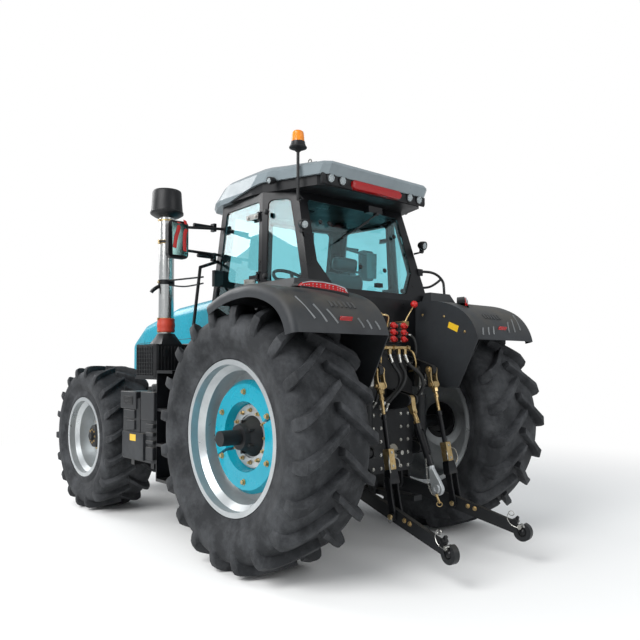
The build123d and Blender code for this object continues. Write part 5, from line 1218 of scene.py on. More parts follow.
class TRACTOR_OT_tank_fittings(bpy.types.Operator):
    """Raised panels, filler, vent, strap, blank tool plate and blank label of the fuel tank."""

    bl_idname = "tractor.tank_fittings"
    bl_label = "Tank fittings"

    def execute(self, context):
        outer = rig.box("fuel_tank")[1].y
        moulded = Shape()
        for x0, x1, z0, z1, depth in TANK_PANELS:
            moulded.box((x0, outer - depth, z0), (x1, outer + 0.014, z1))
        moulded.turned([(0.062, 0), (0.062, 0.085), (0.052, 0.095)], (0.045, 1.10, 1.165), (0, 0, 1), 32)
        moulded.turned(
            [(0.068, 0.085), (0.070, 0.130), (0.060, 0.140), (0.01, 0.142)],
            (0.045, 1.10, 1.165), (0, 0, 1), 32,
        )
        finish_piece(moulded, "tank_mouldings", "rotomoulded_polyethylene", bevel=0.012, segments=3)
        recess = Shape().box((0.330, outer + 0.010, 1.112), (0.520, outer + 0.016, 1.190))
        slat = Shape().box((0.336, outer + 0.014, 1.118), (0.514, outer + 0.020, 1.123))
        in_row(recess, slat, 6, (0, 0, 0.0125))
        finish_piece(recess, "tank_vent_panel", "black_moulding", bevel=0.0015)
        straps = Shape().box((0.205, outer - 0.20, 1.172), (0.245, outer + 0.004, 1.178))
        straps.box((0.205, outer - 0.002, 0.628), (0.245, outer + 0.004, 1.176))
        straps.box((0.190, outer - 0.150, 1.176), (0.260, outer - 0.100, 1.186))
        straps.bolt((0.225, outer - 0.125, 1.186), (0, 0, 1), 0.010, 0.010)
        finish_piece(straps, "tank_strap", "black_powder_coat", bevel=0.002)
        plate = Shape().box((0.108, outer - 0.002, 0.636), (0.522, outer + 0.022, 0.868))
        for x in (0.130, 0.500):
            for z in (0.656, 0.848):
                plate.bolt((x, outer + 0.021, z), (0, 1, 0), 0.0065, 0.004)
        finish_piece(plate, "tool_plate", "grained_polypropylene", slot="cast_paint", bevel=0.003)
        label = Shape().box((0.252, outer + 0.020, 0.794), (0.368, outer + 0.0228, 0.852))
        finish_piece(label, "tool_plate_label", "yellow_vinyl", bevel=0.0005)
        return {"FINISHED"}


# Remote couplers: the face they stand on and the middle of each on it
COUPLER_FACE_X = -1.735
COUPLERS = [(y, z) for z in (1.785, 1.732, 1.679) for y in (0.088, -0.032)]
# radius and distance from that face
COUPLER_PROFILE = (
    (0.018, 0.015), (0.018, 0.040), (0.021, 0.042), (0.021, 0.064), (0.016, 0.066), (0.016, 0.076),
    (0.010, 0.078),
)
CAP_PROFILE = ((0.021, 0.072), (0.0225, 0.074), (0.0225, 0.094), (0.020, 0.098), (0.008, 0.099))
# the strap that ties a cap to its coupler: X, and Y and Z from the coupler's middle
CAP_STRAP = (
    (-1.830, 0, 0.004), (-1.852, -0.004, 0.003), (-1.850, -0.018, -0.014), (-1.815, -0.030, -0.022),
    (-1.785, -0.022, -0.020), (-1.772, -0.004, -0.019),
)
# bent steel pipes as a route and a radius
PIPES = (
    (
        (
            (-1.660, 0.205, 1.862), (-1.760, 0.205, 1.864), (-1.800, 0.196, 1.862), (-1.806, 0.150, 1.862),
            (-1.800, 0.118, 1.850), (-1.780, 0.112, 1.790), (-1.760, 0.108, 1.740),
        ),
        0.008,
    ),
    (
        (
            (-1.700, -0.150, 1.600), (-1.765, -0.170, 1.598), (-1.790, -0.190, 1.560),
            (-1.790, -0.215, 1.480), (-1.760, -0.235, 1.430), (-1.690, -0.240, 1.420),
        ),
        0.009,
    ),
    (
        (
            (-1.700, 0.232, 1.640), (-1.780, 0.236, 1.640), (-1.806, 0.220, 1.600), (-1.806, 0.212, 1.520),
            (-1.790, 0.206, 1.440), (-1.700, 0.200, 1.400),
        ),
        0.008,
    ),
)
# hoses as a route and a radius
HOSES = (
    (
        (
            (-1.780, 0.088, 1.545), (-1.800, 0.080, 1.480), (-1.824, 0.010, 1.395), (-1.826, 0.020, 1.310),
            (-1.820, 0.090, 1.240), (-1.785, 0.150, 1.190), (-1.762, 0.172, 1.140),
        ),
        0.0145,
    ),
    (
        (
            (-1.780, -0.016, 1.545), (-1.795, -0.020, 1.470), (-1.850, -0.030, 1.400), (-1.860, 0.020, 1.310),
            (-1.835, 0.090, 1.235), (-1.800, 0.128, 1.185), (-1.770, 0.120, 1.130),
        ),
        0.0145,
    ),
    (
        (
            (-1.780, -0.089, 1.545), (-1.800, -0.100, 1.480), (-1.850, -0.150, 1.430),
            (-1.868, -0.200, 1.380), (-1.856, -0.228, 1.300), (-1.800, -0.228, 1.220),
            (-1.722, -0.222, 1.170),
        ),
        0.0145,
    ),
    (
        (
            (-1.690, 0.205, 1.600), (-1.740, 0.208, 1.592), (-1.795, 0.210, 1.520), (-1.800, 0.212, 1.400),
            (-1.790, 0.225, 1.270), (-1.765, 0.225, 1.190), (-1.722, 0.222, 1.150),
        ),
        0.0125,
    ),
    (
        (
            (-1.690, -0.200, 1.720), (-1.760, -0.208, 1.715), (-1.795, -0.208, 1.640),
            (-1.795, -0.208, 1.560), (-1.760, -0.206, 1.500), (-1.690, -0.204, 1.480),
        ),
        0.011,
    ),
)


class TRACTOR_OT_hydraulics(bpy.types.Operator):
    """Remote couplers with red caps, steel pipes, hoses with ferrules and the red ball-ended lever."""

    bl_idname = "tractor.hydraulics"
    bl_label = "Hydraulics"

    def execute(self, context):
        block = Shape()
        back = (-1, 0, 0)
        for y, z in COUPLERS:
            block.turned([(0.027, 0.0), (0.027, 0.018), (0.021, 0.022)], (COUPLER_FACE_X, y, z), back, 6)
        block.box((COUPLER_FACE_X, -0.085, 1.650), (-1.640, 0.140, 1.815))
        block.box((-1.728, -0.100, 1.560), (-1.640, 0.150, 1.642))
        for y in (-0.062, -0.006, 0.050, 0.106):
            block.bolt((COUPLER_FACE_X, y, 1.758), back, 0.007, 0.007)
        piece = finish_piece(block, "valve_block", "painted_casting", bevel=0.002)
        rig.replaces(piece, "hydraulic_couplers")
        bodies, caps = Shape(), Shape()
        for y, z in COUPLERS:
            seat = (COUPLER_FACE_X, y, z)
            bodies.turned(COUPLER_PROFILE, seat, back, 24)
            caps.turned(CAP_PROFILE, seat, back, 24)
            caps.hose([(x, y + across, z + up) for x, across, up in CAP_STRAP], 0.0035, 8, 20)
        caps.turned(
            [(0.020, 0), (0.022, 0.003), (0.022, 0.022), (0.018, 0.026), (0.004, 0.027)],
            (-1.745, 0.158, 1.800), (-1, 0.1, 0.2), 24,
        )
        finish_piece(bodies, "coupler_bodies", "turned_steel")
        lever = Shape().tube(
            [
                (-1.560, -0.235, 1.790), (-1.620, -0.269, 1.829), (-1.622, -0.300, 1.880),
                (-1.620, -0.380, 1.972),
            ],
            0.007, 10,
        )
        lever.box((-1.640, -0.300, 1.800), (-1.520, -0.240, 1.840))
        finish_piece(lever, "remote_lever", "passivated_zinc", bevel=0.002)
        caps.turned(
            [
                (0.010, -0.028), (0.022, -0.022), (0.030, -0.008), (0.031, 0.004), (0.026, 0.019),
                (0.015, 0.028), (0.003, 0.031),
            ],
            (-1.620, -0.388, 1.988), (0, -0.6, 0.8), 24,
        )
        finish_piece(caps, "coupler_caps", "red_cap_plastic")
        pipes = Shape().tube(
            [
                (-1.690, 0.214, 1.610), (-1.780, 0.214, 1.610), (-1.780, -0.125, 1.610),
                (-1.690, -0.125, 1.610),
            ],
            0.013, 14,
        )
        for route, radius in PIPES:
            pipes.hose(route, radius, 12, 40)
        for y in (0.088, -0.016, -0.089):
            pipes.turned([(0.017, -0.030), (0.017, 0.014), (0.013, 0.018)], (-1.780, y, 1.585), (0, 0, 1), 6)
            pipes.turned(
                [(0.013, -0.070), (0.013, -0.030), (0.018, -0.030)], (-1.780, y, 1.585), (0, 0, 1), 16
            )
        for y in (0.214, -0.125, 0.150, 0.036):
            pipes.turned([(0.020, -0.014), (0.020, 0.014)], (-1.780, y, 1.610), (0, 1, 0), 6)
        for start in ((-1.790, 0.205, 1.864), (-1.700, 0.205, 1.862)):
            pipes.turned([(0.015, -0.014), (0.015, 0.014)], start, (1, 0, 0), 6)
        finish_piece(pipes, "steel_pipes", "passivated_zinc")
        hoses, ferrules = Shape(), Shape()
        for route, radius in HOSES:
            path = smooth_path(route, 60)
            hoses.tube(path, radius, 14)
            for end, near in ((path[0], path[3]), (path[-1], path[-4])):
                aim = (near - end).normalized()
                ferrules.turned(
                    [
                        (radius * 0.7, -0.012), (radius * 1.30, -0.010), (radius * 1.30, 0.012),
                        (radius * 1.12, 0.015), (radius * 1.18, 0.018), (radius * 1.18, 0.055),
                        (radius * 1.02, 0.058),
                    ],
                    end, aim, 18,
                )
        finish_piece(hoses, "hydraulic_hoses", "hose_rubber")
        finish_piece(ferrules, "hose_ferrules", "turned_steel")
        return {"FINISHED"}


# Hitch, on the left or in the middle: pins of the lift rod, ends of the lower link, ends of the top link
ROD_TOP = Vector((-1.870, 0.310, 1.433))
ROD_FOOT = Vector((-2.085, 0.3465, 0.390))
LINK_PIVOT = Vector((-1.580, 0.270, 0.506))
CLAW = Vector((-2.636, 0.430, 0.245))
TOP_PIN = Vector((-1.910, 0.0, 1.201))
TOP_BALL = Vector((-2.185, 0.0, 0.553))


def along_frame(start, end):
    """Direction, sideways and outward axes of a rod that leans back from start to end."""
    along = (end - start).normalized()
    out = along.cross(Vector((0, 1, 0))).normalized()
    return along, out.cross(along).normalized(), out


def in_frame(start, frame, points):
    """Points given as distances along, sideways and outward from the start of a rod."""
    along, side, out = frame
    return [start + along * far + side * wide + out * deep for far, wide, deep in points]


def block_along(shape, start, frame, stations):
    """A rectangular body along a rod: stations are (distance, half width sideways, half width outward)."""
    along, side, out = frame
    shape.rings(
        [
            [
                start + along * far + side * (a * wide) + out * (b * deep)
                for a, b in ((-1, -1), (1, -1), (1, 1), (-1, 1))
            ]
            for far, wide, deep in stations
        ],
    )


def strap_outline(start, frame, circles, turns=14):
    """Outline in the XZ plane of a strap that follows circles of (distance along, radius)."""
    along, _, out = frame
    first, last = circles[0], circles[-1]
    points = []
    for i in range(turns + 1):
        angle = pi * i / turns
        points.append(start + along * (first[0] - first[1] * sin(angle)) + out * (first[1] * cos(angle)))
    for far, radius in circles[1:-1]:
        points.append(start + along * far - out * radius)
    for i in range(turns + 1):
        angle = pi * i / turns
        points.append(start + along * (last[0] + last[1] * sin(angle)) - out * (last[1] * cos(angle)))
    for far, radius in reversed(circles[1:-1]):
        points.append(start + along * far + out * radius)
    return [(point.x, point.z) for point in points]


class TRACTOR_OT_lift_rods(bpy.types.Operator):
    """Lift rods in full: plated forks, threaded stems, black tubes, levelling boxes and lower forks."""

    bl_idname = "tractor.lift_rods"
    bl_label = "Lift rods"

    def execute(self, context):
        gold, black, steel = Shape(), Shape(), Shape()
        for _, hand in SIDES:
            top = Vector((ROD_TOP.x, ROD_TOP.y * hand, ROD_TOP.z))
            foot = Vector((ROD_FOOT.x, ROD_FOOT.y * hand, ROD_FOOT.z))
            frame = along_frame(top, foot)
            along, across, out = frame
            reach = (foot - top).length
            outline = strap_outline(
                top, frame, ((0.0, 0.030), (0.045, 0.019), (0.085, 0.017), (0.118, 0.027))
            )
            for edge in (1, -1):
                gold.prism(outline, top.y + edge * 0.0285, top.y + edge * 0.0415)
                gold.turned(
                    [(0.021, 0), (0.021, 0.010), (0.013, 0.014)],
                    (top.x, top.y + edge * 0.0415, top.z), (0, edge, 0), 20,
                )
                seat = top + along * 0.118
                gold.bolt((seat.x, seat.y + edge * 0.040, seat.z), (0, edge, 0), 0.015, 0.014)
            steel.turned([(0.016, -0.045), (0.016, 0.045)], top, (0, 1, 0), 20)
            block_along(
                gold, top, frame,
                ((0.094, 0.020, 0.018), (0.100, 0.026, 0.024), (0.140, 0.026, 0.024), (0.150, 0.018, 0.018)),
            )
            gold.turned(
                [
                    (0.018, 0.140), (0.025, 0.146), (0.027, 0.152), (0.027, 0.178), (0.022, 0.182),
                    (0.016, 0.184), (0.016, 0.205), (0.020, 0.206), (0.020, 0.226), (0.012, 0.230),
                ],
                top, along, 6,
            )
            stem = [(0.0125, 0.220)]
            for i in range(22):
                stem += [(0.0145, 0.232 + 0.005 * i), (0.0125, 0.2345 + 0.005 * i)]
            gold.turned(stem, top, along, 20)
            black.turned(
                [
                    (0.014, 0.334), (0.021, 0.336), (0.023, 0.340), (0.023, 0.372), (0.019, 0.376),
                    (0.019, 0.590),
                ],
                top, along, 24,
            )
            block_along(
                gold, top, frame,
                (
                    (0.588, 0.024, 0.027), (0.592, 0.028, 0.032), (0.646, 0.028, 0.032),
                    (0.650, 0.0265, 0.0305), (0.656, 0.0265, 0.0305), (0.660, 0.028, 0.032),
                    (0.736, 0.028, 0.032), (0.741, 0.024, 0.027),
                ),
            )
            box = top + along * 0.665
            for far in (-0.048, 0.050):
                steel.bolt(box + along * far - out * 0.031, -out, 0.008, 0.007)
                steel.bolt(box + along * far + out * 0.031, out, 0.008, 0.007)
            block_along(
                black, top, frame,
                (
                    (0.738, 0.030, 0.026), (0.744, 0.038, 0.030), (0.790, 0.046, 0.030),
                    (0.835, 0.050, 0.030), (0.842, 0.050, 0.026),
                ),
            )
            outline = strap_outline(
                top, frame,
                ((0.815, 0.029), (0.900, 0.024), (0.985, 0.024), (reach - 0.03, 0.028), (reach, 0.030)),
            )
            for edge in (1, -1):
                start = foot.y + edge * 0.030
                black.prism(outline, start, start + edge * 0.016)
                black.turned(
                    [(0.024, 0), (0.024, 0.008), (0.016, 0.012)],
                    (foot.x, start + edge * 0.016, foot.z), (0, edge, 0), 20,
                )
            handle = (
                (-0.020, 0.028, 0.030), (-0.046, 0.050, 0.020), (-0.052, 0.062, -0.030),
                (-0.050, 0.060, -0.070), (-0.040, 0.046, -0.096),
            )
            other = (
                (-0.020, -0.028, 0.010), (-0.040, -0.048, 0.004), (-0.046, -0.056, -0.030),
                (-0.040, -0.052, -0.060),
            )
            for points in (handle, other):
                path = [box + out * a + across * b * hand - along * c for a, b, c in points]
                steel.tube(smooth_path(path, 24), 0.0045, 8)
        piece = finish_piece(black, "lift_rod_tubes", "black_powder_coat", "hanger_rods", bevel=0.0015)
        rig.replaces(piece, "lift_rods")
        finish_piece(gold, "lift_rod_plated_parts", "passivated_zinc", "hanger_rods", bevel=0.0015)
        finish_piece(steel, "lift_rod_pins", "turned_steel", "hanger_rods")
        return {"FINISHED"}


class TRACTOR_OT_top_link(bpy.types.Operator):
    """Top link in full: plated knuckle, black turnbuckle tube, cast ball end, and the pin on its chain."""

    bl_idname = "tractor.top_link"
    bl_label = "Top link"

    def execute(self, context):
        frame = along_frame(TOP_PIN, TOP_BALL)
        along = frame[0]
        reach = (TOP_BALL - TOP_PIN).length
        black, pale, gold = Shape(), Shape(), Shape()
        black.turned(
            [(0.012, 0.195), (0.028, 0.197), (0.029, 0.203), (0.029, 0.520), (0.028, 0.528), (0.018, 0.530)],
            TOP_PIN, along, 28,
        )
        handle = (
            (0.250, 0.0, -0.026), (0.252, 0.004, -0.044), (0.300, 0.008, -0.050), (0.400, 0.008, -0.046),
            (0.448, 0.004, -0.040), (0.450, 0.0, -0.024),
        )
        black.hose(in_frame(TOP_PIN, frame, handle), 0.006, 8, 30)
        piece = finish_piece(black, "top_link_tube", "black_powder_coat", "upper_link")
        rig.replaces(piece, "top_link")
        thread = [(0.014, 0.100)]
        for i in range(16):
            thread += [(0.0165, 0.104 + 0.006 * i), (0.0140, 0.107 + 0.006 * i)]
        gold.turned(thread, TOP_PIN, along, 20)
        gold.prism(
            strap_outline(TOP_PIN, frame, ((0.0, 0.038), (0.050, 0.024), (0.075, 0.019), (0.100, 0.018))),
            -0.022, 0.022,
        )
        gold.turned([(0.024, 0.168), (0.026, 0.172), (0.026, 0.188), (0.022, 0.194)], TOP_PIN, along, 6)
        clip = (
            (0.110, 0.010, -0.016), (0.100, 0.030, -0.040), (0.140, 0.050, -0.060), (0.190, 0.030, -0.050),
            (0.180, 0.006, -0.020),
        )
        gold.hose(in_frame(TOP_PIN, frame, clip), 0.005, 8, 24)
        pale.turned(
            [(0.018, 0.526), (0.026, 0.530), (0.028, 0.536), (0.024, 0.552), (0.018, 0.556), (0.018, 0.575)],
            TOP_PIN, along, 24,
        )
        pear = strap_outline(
            TOP_PIN, frame,
            ((0.560, 0.021), (0.590, 0.027), (0.620, 0.035), (0.655, 0.043), (reach, 0.050)),
            20,
        )
        pale.prism(pear, -0.017, 0.017)
        pale.turned(
            [
                (0.0165, -0.0255), (0.026, -0.0255), (0.032, -0.021), (0.035, -0.016), (0.035, 0.016),
                (0.032, 0.021), (0.026, 0.0255), (0.0165, 0.0255),
            ],
            TOP_BALL, (0, 1, 0), 32, closed=True,
        )
        finish_piece(pale, "top_link_ball_end", "silver_rim_paint", "upper_link", bevel=0.004, segments=3)
        hook = Vector((-2.200, 0.012, 0.470))
        gold.tube(
            [
                hook + Vector((0.012, 0.010, 0.040)),
                hook + Vector((0.0, 0.0, 0.0)),
                hook + Vector((-0.008, -0.006, -0.020)),
            ],
            0.009, 12,
        )
        gold.turned(
            [(0.014, -0.006), (0.014, 0.006)], hook + Vector((0.012, 0.010, 0.040)), (0.2, 0.2, 1), 14
        )
        eye = hook + Vector((-0.008, 0.0, -0.026))
        gold.tube(
            [eye + Vector(step) for step in circle((0, 0, 0), (0.018, 0.010, 0), (0, 0, 0.018))], 0.003, 8
        )
        finish_piece(gold, "top_link_plated_parts", "passivated_zinc", "upper_link", bevel=0.001)
        route = bpy.data.curves.new("route", "CURVE")
        route.dimensions = "3D"
        line = route.splines.new("POLY")
        points = smooth_path(
            [
                Vector(p)
                for p in (
                    (-2.098, 0.030, 0.760), (-2.104, 0.034, 0.700), (-2.112, 0.032, 0.600),
                    (-2.135, 0.028, 0.530), (-2.170, 0.026, 0.500), (-2.190, 0.022, 0.508),
                )
            ],
            40,
        )
        line.points.add(len(points) - 1)
        for spot, point in zip(line.points, points):
            spot.co = (*point, 1.0)
        holder = added("route", route)
        loop = []
        for i in range(16):
            angle = 2 * pi * i / 16
            loop.append(
                (0.0045 * cos(angle), 0.0, 0.0035 * sin(angle) + (0.0045 if sin(angle) > 0 else -0.0045))
            )
        link = Shape().tube([*loop, loop[0]], 0.0017, 6)
        chain = Shape()
        chain.take(repeated(link, "chain", Path=holder, Pitch=0.0125))
        bpy.data.objects.remove(holder)
        chain.tube([(-2.098, 0.0, 0.760), (-2.098, 0.034, 0.762)], 0.004, 8)
        finish_piece(chain, "top_link_pin_chain", "turned_steel", "upper_link")
        return {"FINISHED"}


class TRACTOR_OT_link_gear(bpy.types.Operator):
    """Latches, latch wires and plated pins of the lower links, and bolts on the housing's rear face."""

    bl_idname = "tractor.link_gear"
    bl_label = "Lower link gear"

    def execute(self, context):
        gold, black, steel = Shape(), Shape(), Shape()
        for _, hand in SIDES:
            start = Vector((LINK_PIVOT.x, LINK_PIVOT.y * hand, 0))
            end = Vector((CLAW.x, CLAW.y * hand, 0))
            run = (end - start).normalized()
            outward = Vector((run.y * hand, -run.x * hand, 0)).normalized() * hand

            def on(back, lift, across):
                """A point near the claw: back along the link, up, and outward from its middle plane."""
                return Vector(
                    (CLAW.x, CLAW.y * hand, CLAW.z)
                ) + run * back + Vector((0, 0, lift)) + outward * across

            black.rings(
                [
                    [
                        on(a, b, wide)
                        for a, b in (
                            (-0.078, 0.030), (-0.050, 0.046), (-0.036, 0.072), (-0.050, 0.090),
                            (-0.078, 0.088), (-0.100, 0.060),
                        )
                    ]
                    for wide in (-0.022, 0.022)
                ],
            )
            black.rings(
                [
                    [
                        on(a, b, wide)
                        for a, b in (
                            (-0.062, 0.060), (-0.040, 0.066), (-0.034, 0.104), (-0.048, 0.112),
                            (-0.062, 0.096),
                        )
                    ]
                    for wide in (-0.012, 0.012)
                ],
            )
            steel.turned(
                [(0.017, -0.030), (0.019, -0.026), (0.019, 0.026), (0.017, 0.030)],
                on(-0.020, 0.036, 0), outward, 20,
            )
            steel.turned([(0.010, -0.034), (0.010, 0.034)], on(-0.020, 0.036, 0), outward, 16)
            wire = [
                on(-0.105, 0.128, 0.020), on(-0.120, 0.105, 0.030), on(-0.100, 0.060, 0.034),
                on(-0.060, 0.034, 0.032), on(-0.022, 0.032, 0.030),
            ]
            steel.tube(smooth_path(wire, 30), 0.003, 8)
            loop = circle((-0.085, 0.128, 0.020), (0.022, 0, 0), (0, 0.016, 0))
            steel.tube([on(*point) for point in loop], 0.003, 8)
            for back, lift in ((-0.445, 0.134), (-0.386, 0.122)):
                gold.bolt(on(back, lift, 0.018), outward, 0.014, 0.014)
                gold.bolt(on(back, lift, -0.018), -outward, 0.014, 0.010)
            ball = [
                (0.032 * cos(i * pi / 12 - pi / 2) + 0.0001, 0.032 * sin(i * pi / 12 - pi / 2))
                for i in range(13)
            ]
            black.turned(ball, on(0, 0, 0), outward, 28)
            rod_foot = Vector((ROD_FOOT.x, ROD_FOOT.y * hand, ROD_FOOT.z))
            gold.turned(
                [(0.016, 0.046), (0.016, 0.064), (0.020, 0.064), (0.020, 0.074), (0.006, 0.078)],
                rod_foot, (0, hand, 0), 20,
            )
            gold.turned(
                [(0.016, 0.046), (0.020, 0.050), (0.020, 0.060), (0.006, 0.064)], rod_foot, (0, -hand, 0), 20
            )
            clip = circle((0, hand * 0.070, -0.016), (0.02, 0, 0), (0, 0, 0.026))
            steel.tube([rod_foot + Vector(step) for step in clip], 0.0028, 8)
        finish_piece(black, "claw_latches", "black_powder_coat", "links", bevel=0.003)
        finish_piece(gold, "link_plated_pins", "passivated_zinc", "links", bevel=0.001)
        finish_piece(steel, "latch_wires", "turned_steel", "links")
        face = surface_of(NODES["transmission"])
        bolts = Shape()
        for y in (-0.20, -0.115, 0.115, 0.20):
            for i in range(6):
                spot = face.ray_cast(Vector((-2.5, y, 0.66 + 0.105 * i)), Vector((1, 0, 0)))[0]
                if spot and spot.x > -1.80:
                    bolts.bolt(spot, (-1, 0, 0), 0.011, 0.010)
        finish_piece(bolts, "housing_bolts", "turned_steel")
        return {"FINISHED"}


# Seat. The cloth simulation that stuffs its pads
CLOTH_FRAMES = 20
CLOTH_PRESSURE = 4.0
CLOTH_STIFFNESS = 25


def rounded_block(low, high, radius, turn=None, pivot=None):
    """A closed block with rounded upright edges and a crowned top and bottom, as rings from below."""
    middle, half = (low + high) / 2, (high - low) / 2
    rings = []
    for level, share in ((-1.0, 0.80), (-0.92, 0.93), (-0.6, 1.0), (0.6, 1.0), (0.92, 0.93), (1.0, 0.80)):
        ring = [
            Vector((middle.x + x * share, middle.y + y * share, middle.z + half.z * level))
            for x, y in rounded_corners(half.x, half.y, radius)
        ]
        rings.append([pivot + turn @ (point - pivot) for point in ring] if turn else ring)
    return Shape().rings(rings)


def stuffed(shape, name, voxel, cap):
    """A pad blown up by the cloth simulation, no point further than cap from where it began."""
    pad = added(name, shape.to_mesh(name))
    fine = pad.modifiers.new("remesh", "REMESH")
    fine.mode = "VOXEL"
    fine.voxel_size = voxel
    even = evaluated_mesh(pad)
    pad.modifiers.remove(fine)
    pad.data = even
    start = [vertex.co.copy() for vertex in even.vertices]
    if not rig.quick():
        cloth = pad.modifiers.new("cloth", "CLOTH")
        cloth.settings.use_pressure = True
        cloth.settings.uniform_pressure_force = CLOTH_PRESSURE
        cloth.settings.effector_weights.gravity = 0.0
        cloth.settings.tension_stiffness = cloth.settings.compression_stiffness = CLOTH_STIFFNESS
        scene = bpy.context.scene
        for frame_number in range(1, CLOTH_FRAMES + 1):
            scene.frame_set(frame_number)
        blown = evaluated_mesh(pad)
        pad.modifiers.remove(cloth)
        scene.frame_set(1)
        for before, vertex in zip(start, blown.vertices):
            move = vertex.co - before
            if move.length > cap:
                vertex.co = before + move.normalized() * cap
        pad.data = blown
    return pad


def finish_pad(pad):
    """Give a pad its cloth, one level of subdivision, its body and its fill."""
    pad.data.materials.clear()
    pad.data.materials.append(FINISHES["covered_seat_cloth"])
    pad.data.shade_smooth()
    smooth = pad.modifiers.new("smooth", "SUBSURF")
    smooth.levels = smooth.render_levels = 1
    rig.ride(pad, "chassis")
    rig.slot(pad, "upholstery")
    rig.padded(pad, fill=0.7)


def channel(pad, axis, spots, normal, width, depth):
    """Press sewn channels into the face that looks along normal, at these places along one axis."""
    inward = Vector(normal).normalized()
    for vertex in pad.data.vertices:
        if vertex.normal.dot(inward) > 0.4:
            for spot in spots:
                near = abs(vertex.co[axis] - spot) / width
                if near < 1:
                    vertex.co -= inward * depth * (1 + cos(pi * near)) / 2


def piping(pad, ring, radius):
    """A welt laid on a pad's surface next to a closed ring of points."""
    surface = surface_of(pad)
    path = [surface.find_nearest(point)[0] for point in ring]
    return Shape().tube([*path, path[0]], radius, 8)


class TRACTOR_OT_seat(bpy.types.Operator):
    """Sprung driver's seat: stuffed cushion, backrest, head pad, armrests, bellows and runners."""

    bl_idname = "tractor.seat"
    bl_label = "Driver's seat"

    def execute(self, context):
        lean = Matrix.Rotation(radians(-8), 3, "Y")
        hinge = Vector((-1.115, 0, 1.905))
        cushion = stuffed(
            rounded_block(Vector((-1.130, -0.240, 1.806)), Vector((-0.650, 0.240, 1.900)), 0.070),
            "seat_cushion", 0.012, 0.018,
        )
        channel(cushion, 1, (-0.115, 0.115), (0, 0, 1), 0.018, 0.010)
        channel(cushion, 0, (-0.90,), (0, 0, 1), 0.018, 0.006)
        finish_pad(cushion)
        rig.replaces(cushion, "seat")
        back = stuffed(
            rounded_block(
                Vector((-1.150, -0.235, 1.930)), Vector((-1.055, 0.235, 2.270)), 0.038, lean, hinge
            ),
            "seat_back", 0.012, 0.016,
        )
        channel(back, 1, (-0.120, 0.120), (1, 0, 0.1), 0.018, 0.009)
        channel(back, 2, (2.02, 2.12), (1, 0, 0.1), 0.018, 0.006)
        finish_pad(back)
        head = stuffed(
            rounded_block(
                Vector((-1.145, -0.130, 2.285)), Vector((-1.065, 0.130, 2.395)), 0.030, lean, hinge
            ),
            "head_pad", 0.010, 0.010,
        )
        finish_pad(head)
        for hand in (1, -1):
            arm = stuffed(
                rounded_block(
                    Vector((-1.080, hand * 0.243 - 0.024, 2.020)),
                    Vector((-0.780, hand * 0.243 + 0.024, 2.060)),
                    0.020,
                ),
                f"armrest_{'left' if hand > 0 else 'right'}",
                0.009, 0.006,
            )
            finish_pad(arm)
        ring = []
        for i in range(72):
            across, along = (max(-1, min(1, 1.25 * part(2 * pi * i / 72))) for part in (cos, sin))
            ring.append(Vector((-0.890 + 0.27 * across, 0.27 * along, 1.853)))
        finish_piece(piping(cushion, ring, 0.005), "seat_piping", "hose_rubber")
        frame_bits, bellows = Shape(), Shape()
        frame_bits.box((-1.110, -0.205, 1.784), (-0.690, 0.205, 1.806))
        frame_bits.box((-1.130, -0.235, 1.466), (-0.670, 0.235, 1.486))
        for hand in (1, -1):
            frame_bits.tube(
                [(-1.120, hand * 0.236, 1.880), (-1.150, hand * 0.240, 2.020), (-1.085, hand * 0.243, 2.030)],
                0.012, 12,
            )
            frame_bits.turned([(0.040, -0.012), (0.040, 0.012)], (-1.118, hand * 0.236, 1.880), (0, 1, 0), 24)
            frame_bits.tube([(-1.158, hand * 0.060, 2.230), (-1.168, hand * 0.060, 2.330)], 0.008, 10)
        frame_bits.box((-1.178, -0.200, 1.930), (-1.160, 0.200, 2.240))
        frame_bits.tube([(-1.00, 0.200, 1.795), (-0.90, 0.236, 1.790), (-0.84, 0.240, 1.780)], 0.008, 10)
        finish_piece(frame_bits, "seat_frame", "black_powder_coat", bevel=0.004)
        rings = []
        for i in range(25):
            swell = 0.012 if i % 2 else 0.0
            z = 1.486 + 0.298 * i / 24
            rings.append([(-0.900 + x, y, z) for x, y in rounded_corners(0.180 + swell, 0.165 + swell, 0.05)])
        bellows.rings(rings)
        finish_piece(bellows, "seat_bellows", "hose_rubber", smooth=60)
        return {"FINISHED"}


